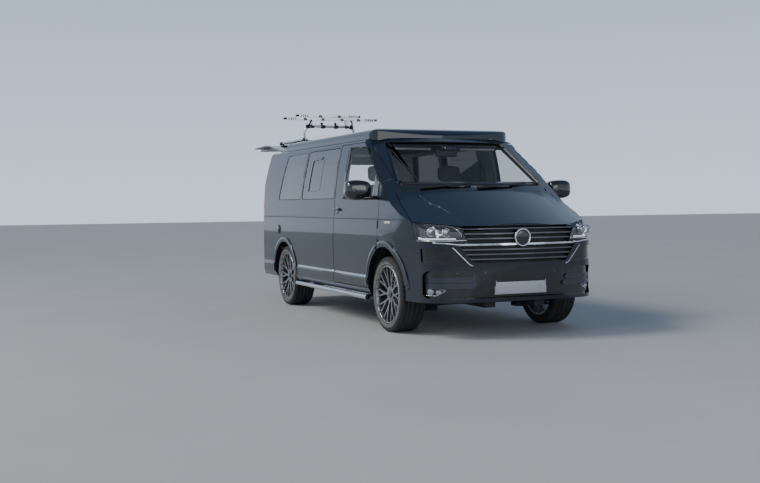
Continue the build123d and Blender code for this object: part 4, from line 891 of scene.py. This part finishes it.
# Columns: x, share of the width, share of the height
shell_rings = ((1.8045, 0.93, 0.92), (1.803, 1.0, 1.0), (1.835, 1.0, 1.0), (1.868, 0.965, 0.96),
    (1.892, 0.87, 0.86), (1.905, 0.7, 0.68), (1.91, 0.42, 0.4))
for side, name in both_sides:
    body = f"door_{name}"
    lump(f"mirror_glass_{name}", (1.8025, side * 1.104, mirror_z), (0.004, 0.205, 0.14), "mirror_glass",
        0.45, body)
    strip(f"mirror_seam_{name}", [(1.86, side * 1.16, 1.26), (1.86, side * 1.02, 1.26)], (0, 0, 1),
        search_tree(f"mirror_{name}"), "shadow", 0.004, 0.001, body)
    points = []
    for x, wide, tall in shell_rings:
        for k in range(shell_steps):
            turn = 2 * pi * k / shell_steps
            u, v = cos(turn), sin(turn)
            y = abs(u) ** shell_power * (1 if u > 0 else -1) * mirror_half_width * wide
            z = abs(v) ** shell_power * (1 if v > 0 else -1) * mirror_half_height * tall
            lean = 1 - 0.1 * abs(y / mirror_half_width) if y * side < 0 else 1
            points.append(Vector((x, side * mirror_y + y, mirror_z + z * lean)))
    shell = build("shell", points, skin(len(shell_rings), shell_steps), "gloss_black", body)
    foot = lump("foot", (1.862, side * 0.99, 1.246), (0.074, 0.15, 0.034), "gloss_black", 0.42, body)
    neck = lump("neck", (1.862, side * 1.03, 1.262), (0.066, 0.09, 0.034), "gloss_black", 0.42, body)
    housing = join(f"mirror_housing_{name}", [shell, foot, neck])
    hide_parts(f"mirror_{name}")

# Bellows of the raising roof: one cloth in flat folds
hatch_rear, hatch_front, hatch_half_width = -1.145, 1.255, 0.66
fold_depth, fold_count, cloth = 0.021, 40, 0.0004
fold_low, fold_high = 1.8515, 1.885
hatch = [(hatch_rear, -hatch_half_width, 0), (hatch_front, -hatch_half_width, 0),
    (hatch_front, hatch_half_width, 0), (hatch_rear, hatch_half_width, 0)]
loop = spaced(rounded(hatch, 0.05), True, 0.05)
count = len(loop)
rows = fold_count + 1
points = []
for level in (0, cloth):
    for k in range(rows):
        depth = 0.002 + (fold_depth if k % 2 else 0)
        z = fold_low + (fold_high - fold_low) * k / fold_count + level
        for i, p in enumerate(loop):
            along = (loop[(i + 1) % count] - loop[i - 1]).normalized()
            inside = Vector((-along.y, along.x, 0))
            points.append(p + inside * depth + Vector((0, 0, z)))
layer = rows * count
outside = skin(rows, count, capped=False)
faces = outside + [tuple(layer + i for i in reversed(face)) for face in outside]
for row in (0, rows - 1):
    for i in range(count):
        a, b = row * count + i, row * count + (i + 1) % count
        faces.append((a, b, layer + b, layer + a))
bellows = build("roof_bellows", points, faces, "canvas", None, smooth=False)
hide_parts("roof_canvas")
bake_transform(bellows)


def black(label, centre, size, round_by=0.3, look="trim_black"):
    """A moulded block on the tailgate."""
    return lump(label, centre, size, look, round_by, "tailgate")


# Bicycle rack: caps, bands, straps and buckles on its cross tubes
gate_x, gate_z = -1.742, 1.852
for label, dx, dz, half in (("lower", -0.096, 0.433, 0.63), ("upper", -0.19, 0.481, 0.435)):
    x, z = gate_x + dx, gate_z + dz
    parts = []
    for turn in (-1, 1):
        parts.append(black("cap", (x, turn * (half - 0.012), z - 0.001), (0.048, 0.04, 0.029)))
        for k in range(4):
            place = (x, turn * (half - 0.055 - 0.03 * k), z - 0.0015)
            parts.append(black("band", place, (0.0475, 0.014, 0.0295)))
    for y in (-0.36, -0.12, 0.14, 0.37):
        if abs(y) < half - 0.1:
            parts.append(black("strap", (x, y, z - 0.003), (0.054, 0.034, 0.03)))
            parts.append(black("buckle", (x + 0.026, y + 0.004, z - 0.01), (0.018, 0.044, 0.026), 0.35,
                "gloss_black"))
    join(f"rack_straps_{label}", parts)

# Bicycle rack: clamps, knobs, arms, feet and hooks on its frame
gate_tree = search_tree("tailgate", "tailgate_window")
down = (0, 0, -1)
hoop_x, hoop_z, rail_y, rail_z = -1.892, 2.195, 0.335, 2.024
knob_profile = [(0.0005, 0.06), (0.012, 0.059), (0.017, 0.052), (0.017, 0.036), (0.01, 0.03), (0.006, 0.0)]
tube_profile = [(0.0005, 0.006), (0.012, 0.004), (0.0158, -0.002), (0.0158, -0.03)]
parts = []
for turn in (-1, 1):
    rail = turn * rail_y
    for y, lift in ((0.24, 0.0), (0.09, -0.004)):
        parts.append(black("clamp", (hoop_x, turn * y, hoop_z + lift), (0.05, 0.056, 0.046)))
        parts.append(lathe("knob", knob_profile, (hoop_x - 0.016, turn * (y + 0.004), hoop_z),
            (-0.5, 0, 0.86), "trim_black", 14, "tailgate"))
    arm = [(hoop_x + 0.004, turn * 0.3, hoop_z - 0.01), (hoop_x + 0.07, turn * 0.29, hoop_z + 0.04),
        (hoop_x + 0.075, turn * 0.27, hoop_z + 0.078), (gate_x - 0.096, turn * 0.262, gate_z + 0.415)]
    parts.append(rod("arm", bent(arm, 0.05), 0.01, "trim_black", body="tailgate"))
    parts.append(black("joint", (hoop_x + 0.002, turn * 0.3, hoop_z - 0.004), (0.046, 0.05, 0.052)))
    for x in (-1.912, -2.878):
        parts.append(black("shoe", (x, rail, 2.022), (0.06, 0.056, 0.046)))
        spot, normal = land(gate_tree, (x, rail, 1.9), down)
        parts.append(black("pad", spot + Vector((0, 0, 0.01)), (0.076, 0.076, 0.022), 0.4))
    for x in (-2.382, -2.878):
        parts.append(black("cross_clamp", (x, turn * 0.15, rail_z), (0.044, 0.06, 0.04)))
    parts.append(lathe("tube_end", tube_profile, (-2.934, rail, rail_z), backward, "trim_black", 20,
        "tailgate"))
    hook = [(-1.842, rail, rail_z), (-1.815, rail, 2.0), (-1.8, rail, 1.93), (-1.805, rail, 1.87)]
    parts.append(rod("hook", bent(hook, 0.03), 0.011, "trim_black", body="tailgate"))
parts.append(rod("locker", [(-2.3, -0.3, 2.035), (-2.3, 0.3, 2.035)], 0.009, "trim_black", body="tailgate"))
join("rack_fittings", parts)

# Tailgate: window seal and wiper
low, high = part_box("tailgate_window")
seal = rounded([(low[0], low[1], 0), (high[0], low[1], 0), (high[0], high[1], 0), (low[0], high[1], 0)],
    0.06)
strip("gate_window_seal", seal, down, gate_tree, "trim_black", 0.012, 0.003, "tailgate", closed=True,
    step=0.03)
wiper_x = low[0] - 0.045
spot, normal = land(gate_tree, (wiper_x, 0, 0), down)
arm = [(wiper_x, 0, 0), (wiper_x + 0.05, -0.32, 0)]
blade = [(wiper_x + 0.062, -0.16, 0), (wiper_x + 0.06, -0.5, 0)]
parts = [lathe("pivot", [(0.0005, 0.034), (0.016, 0.032), (0.022, 0.022), (0.026, -0.004)], spot, normal,
    "trim_black", 24, "tailgate"), strip("arm", arm, down, gate_tree, "trim_black", 0.018, 0.024,
    "tailgate", sink=-0.01), strip("blade", blade, down, gate_tree, "trim_black", 0.014, 0.016, "tailgate")]
join("gate_wiper", parts)

# Tail lamps: a clear field, dark lines, and an edge with deep red bars
rear_tree = search_tree("tail_lamps", "side_panel_left", "side_panel_right", "rear_bumper")
low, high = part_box("tail_lamps")
foot, top = low[2], high[2]
for side, name in both_sides:
    y = side * (high[1] - 0.045)
    # Columns: low end, high end, look, width, height
    bands = ((foot + 0.13, foot + 0.19, "lens_white", 0.06, 0.003),
        (foot + 0.1, foot + 0.105, "shadow", 0.07, 0.002), (top - 0.12, top - 0.115, "shadow", 0.07, 0.002))
    parts = [strip("band", [(-3, y, z), (-3, y, end)], forward, rear_tree, look, width, height) for z, end,
        look, width, height in bands]
    join(f"tail_lamp_bands_{name}", parts)
    edge = [(-3, y - 0.034, foot + 0.02), (-3, y + 0.034, foot + 0.02), (-3, y + 0.034, top - 0.02),
        (-3, y - 0.034, top - 0.02)]
    parts = [strip("edge", rounded(edge, 0.02), forward, rear_tree, "gloss_black", 0.005, 0.0025,
        closed=True)]
    for z in (foot + 0.05, top - 0.06, top - 0.17):
        parts.append(strip("bar", [(-3, y - 0.026, z), (-3, y + 0.026, z)], forward, rear_tree, "lens_deep",
            0.026, 0.0035, step=0.01))
    join(f"tail_lamp_frame_{name}", parts)

# Rear bumper's step and lower trim, and the sensors of both bumpers
low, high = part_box("rear_bumper")
step_z, trim_z = high[2] - 0.035, low[2] + 0.085
strip("rear_step", [(-3, -0.62, step_z), (-3, 0.62, step_z)], forward, rear_tree, "trim_black", 0.05, 0.004,
    step=0.05)
strip("rear_lower_trim", [(-3, -0.8, trim_z), (-3, 0.8, trim_z)], forward, rear_tree, "trim_black", 0.1,
    0.004, step=0.05)
parts = []
for y in (-0.6, -0.35, 0.35, 0.6):
    for tree, place, ray in ((recess_tree, (nose_x, y, 0.572), backward),
            (rear_tree, (-3, y, low[2] + 0.19), forward)):
        spot, normal = land(tree, place, ray)
        parts.append(lathe("sensor", [(0.0005, 0.002), (0.009, 0.0018), (0.0115, 0.0008), (0.0125, -0.002)],
            spot, normal, "gloss_black", 20))
join("parking_sensors", parts)


def inward(c, n):
    """Whether a face looks to the middle of the cabin."""
    return Vector((0, c.y, c.z - 1.1)).dot(Vector((0, n.y, n.z))) < -0.12


# Inner faces of the panels: lining above the sill, cards and trim below
lining_z = 1.2
for side, name in both_sides:
    repaint(f"side_panel_{name}", [
        ("visor_grey", lambda c, n: inward(c, n) and n.y * side < -0.25 and c.z > lining_z),
        ("dash_grey", lambda c, n: inward(c, n) and n.y * side < -0.25 and c.z <= lining_z),
    ])
    repaint(f"door_{name}", [
        ("visor_grey", lambda c, n: n.y * side < -0.25 and c.z > lining_z),
        ("dash_grey", lambda c, n: n.y * side < -0.25 and c.z <= lining_z),
    ])
repaint("roof_frame", [("visor_grey", lambda c, n: n.z < -0.3 and c.z > 1.5)])
repaint("sliding_door", [("dash_grey", lambda c, n: n.y < -0.25)])
repaint("tailgate", [("dash_grey", lambda c, n: n.z < -0.25)])
repaint("cowl", [("gloss_black", lambda c, n: n.x > 0.2 and n.z > 0.3 and c.z > 1.3)])
repaint("floor_pan", [
    ("floor_vinyl", lambda c, n: n.z > 0.5 and c.z > 0.33 and abs(c.y) < 0.8),
    ("dash_grey", lambda c, n: (-1.9 < c.x < 1.6 and abs(c.y) < 0.72 and c.z > 0.42 and abs(n.z) < 0.95
        and abs(n.y) < 0.99)),
])

# Raised lips round the wheel arches, in a lighter, more metallic copy of the body paint: a painted
# highlight
arc_steps = 24
for side, name in both_sides:
    # Columns: name, centre, radius, first and last angle, body
    for label, x, z, radius, first, last, body in (
        ("front", 2.09, 0.39, 0.44, 4, 108, "body"), ("door", 2.09, 0.39, 0.44, 116, 177, f"door_{name}"),
        ("rear", -0.91, 0.355, 0.432, 4, 176, "body"),
    ):
        angles = [radians(first + (last - first) * k / arc_steps) for k in range(arc_steps + 1)]
        arc = [at(x + radius * cos(angle), z + radius * sin(angle)) for angle in angles]
        strip(f"arch_lip_{label}_{name}", arc, (0, -side, 0), paint_side, "arch_lip_highlight_paint", 0.04, 0.009, body)

# Seat belts on the centre pillars
for side, name in both_sides:
    belt = [(0.735, side * 0.8, 1.62), (0.745, side * 0.795, 1.45), (0.78, side * 0.74, 0.98),
        (0.8, side * 0.72, 0.62)]
    rod(f"seat_belt_{name}", bent(belt, 0.2), 0.012, "dash_black", 6)

# Camera where the photographer stood
yaw, pitch, roll = radians(157.11), radians(-2.097), radians(-0.56)
ahead = Vector((cos(yaw) * cos(pitch), sin(yaw) * cos(pitch), sin(pitch)))
right = Vector((sin(yaw), -cos(yaw), 0))
up = right.cross(ahead)
camera_data = bpy.data.cameras.new("camera")
camera_data.lens = 50.12
camera_data.sensor_width = 36
camera_data.clip_end = 400
camera = add_piece("camera", camera_data)
axis_x = cos(roll) * right + sin(roll) * up
axis_y = -sin(roll) * right + cos(roll) * up
camera.matrix_world = Matrix((axis_x, axis_y, -ahead)).transposed().to_4x4()
camera.location = (11.0808, -4.7811, 1.1992)
bpy.context.scene.camera = camera

# Floor
reach = 60
floor_mesh = bpy.data.meshes.new("floor")
floor_mesh.from_pydata([(-reach, -reach, 0), (reach, -reach, 0), (reach, reach, 0), (-reach, reach, 0)], [],
    [(0, 1, 2, 3)])
floor = add_piece("floor", floor_mesh)
floor_mesh.materials.append(material("floor", (0.44, 0.44, 0.43), 0.8, spread=0.03, scale=0.6, bump=0.05,
    bump_scale=40))
floor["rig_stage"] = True


def light(name, kind, place, target, power, colour):
    """A light at a place that looks at a target."""
    data = bpy.data.lights.new(name, kind)
    data.energy = power
    data.color = colour
    lamp = add_piece(name, data)
    lamp.location = place
    lamp.rotation_euler = (Vector(target) - Vector(place)).to_track_quat("-Z", "Y").to_euler()
    return data


# Lights: a broad one on the side, one on the face, and a soft sun
for name, place, target, size, power, colour in (
    ("side light", (2.0, -12.0, 7.5), (0, 0, 0.9), (14, 5), 620, (1.0, 0.97, 0.93)),
    ("front light", (13.0, 1.0, 3.2), (2, 0, 0.9), (9, 3), 190, (1, 1, 1)),
):
    panel = light(name, "AREA", place, target, power, colour)
    panel.shape = "RECTANGLE"
    panel.size, panel.size_y = size
sun = light("sun", "SUN", (-2.5, -6.0, 6.5), (0, 0, 0), 1.6, (1.0, 0.96, 0.9))
sun.angle = radians(18)

# Sky: pale at the horizon and deeper above
world = bpy.data.worlds.new("studio")
world.use_nodes = True
sky = world.node_tree
direction = sky.nodes.new("ShaderNodeTexCoord")
split = sky.nodes.new("ShaderNodeSeparateXYZ")
shade = sky.nodes.new("ShaderNodeValToRGB")
sky.links.new(direction.outputs["Generated"], split.inputs["Vector"])
sky.links.new(split.outputs["Z"], shade.inputs["Fac"])
shade.color_ramp.elements[0].position = 0.0
shade.color_ramp.elements[0].color = (0.72, 0.83, 1.0, 1)
shade.color_ramp.elements[1].position = 0.75
shade.color_ramp.elements[1].color = (0.1, 0.15, 0.25, 1)
middle_tone = shade.color_ramp.elements.new(0.28)
middle_tone.color = (0.38, 0.48, 0.62, 1)
sky.links.new(shade.outputs["Color"], sky.nodes["Background"].inputs["Color"])
put(sky.nodes["Background"], {"Strength": 1.15})
bpy.context.scene.world = world

low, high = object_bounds()
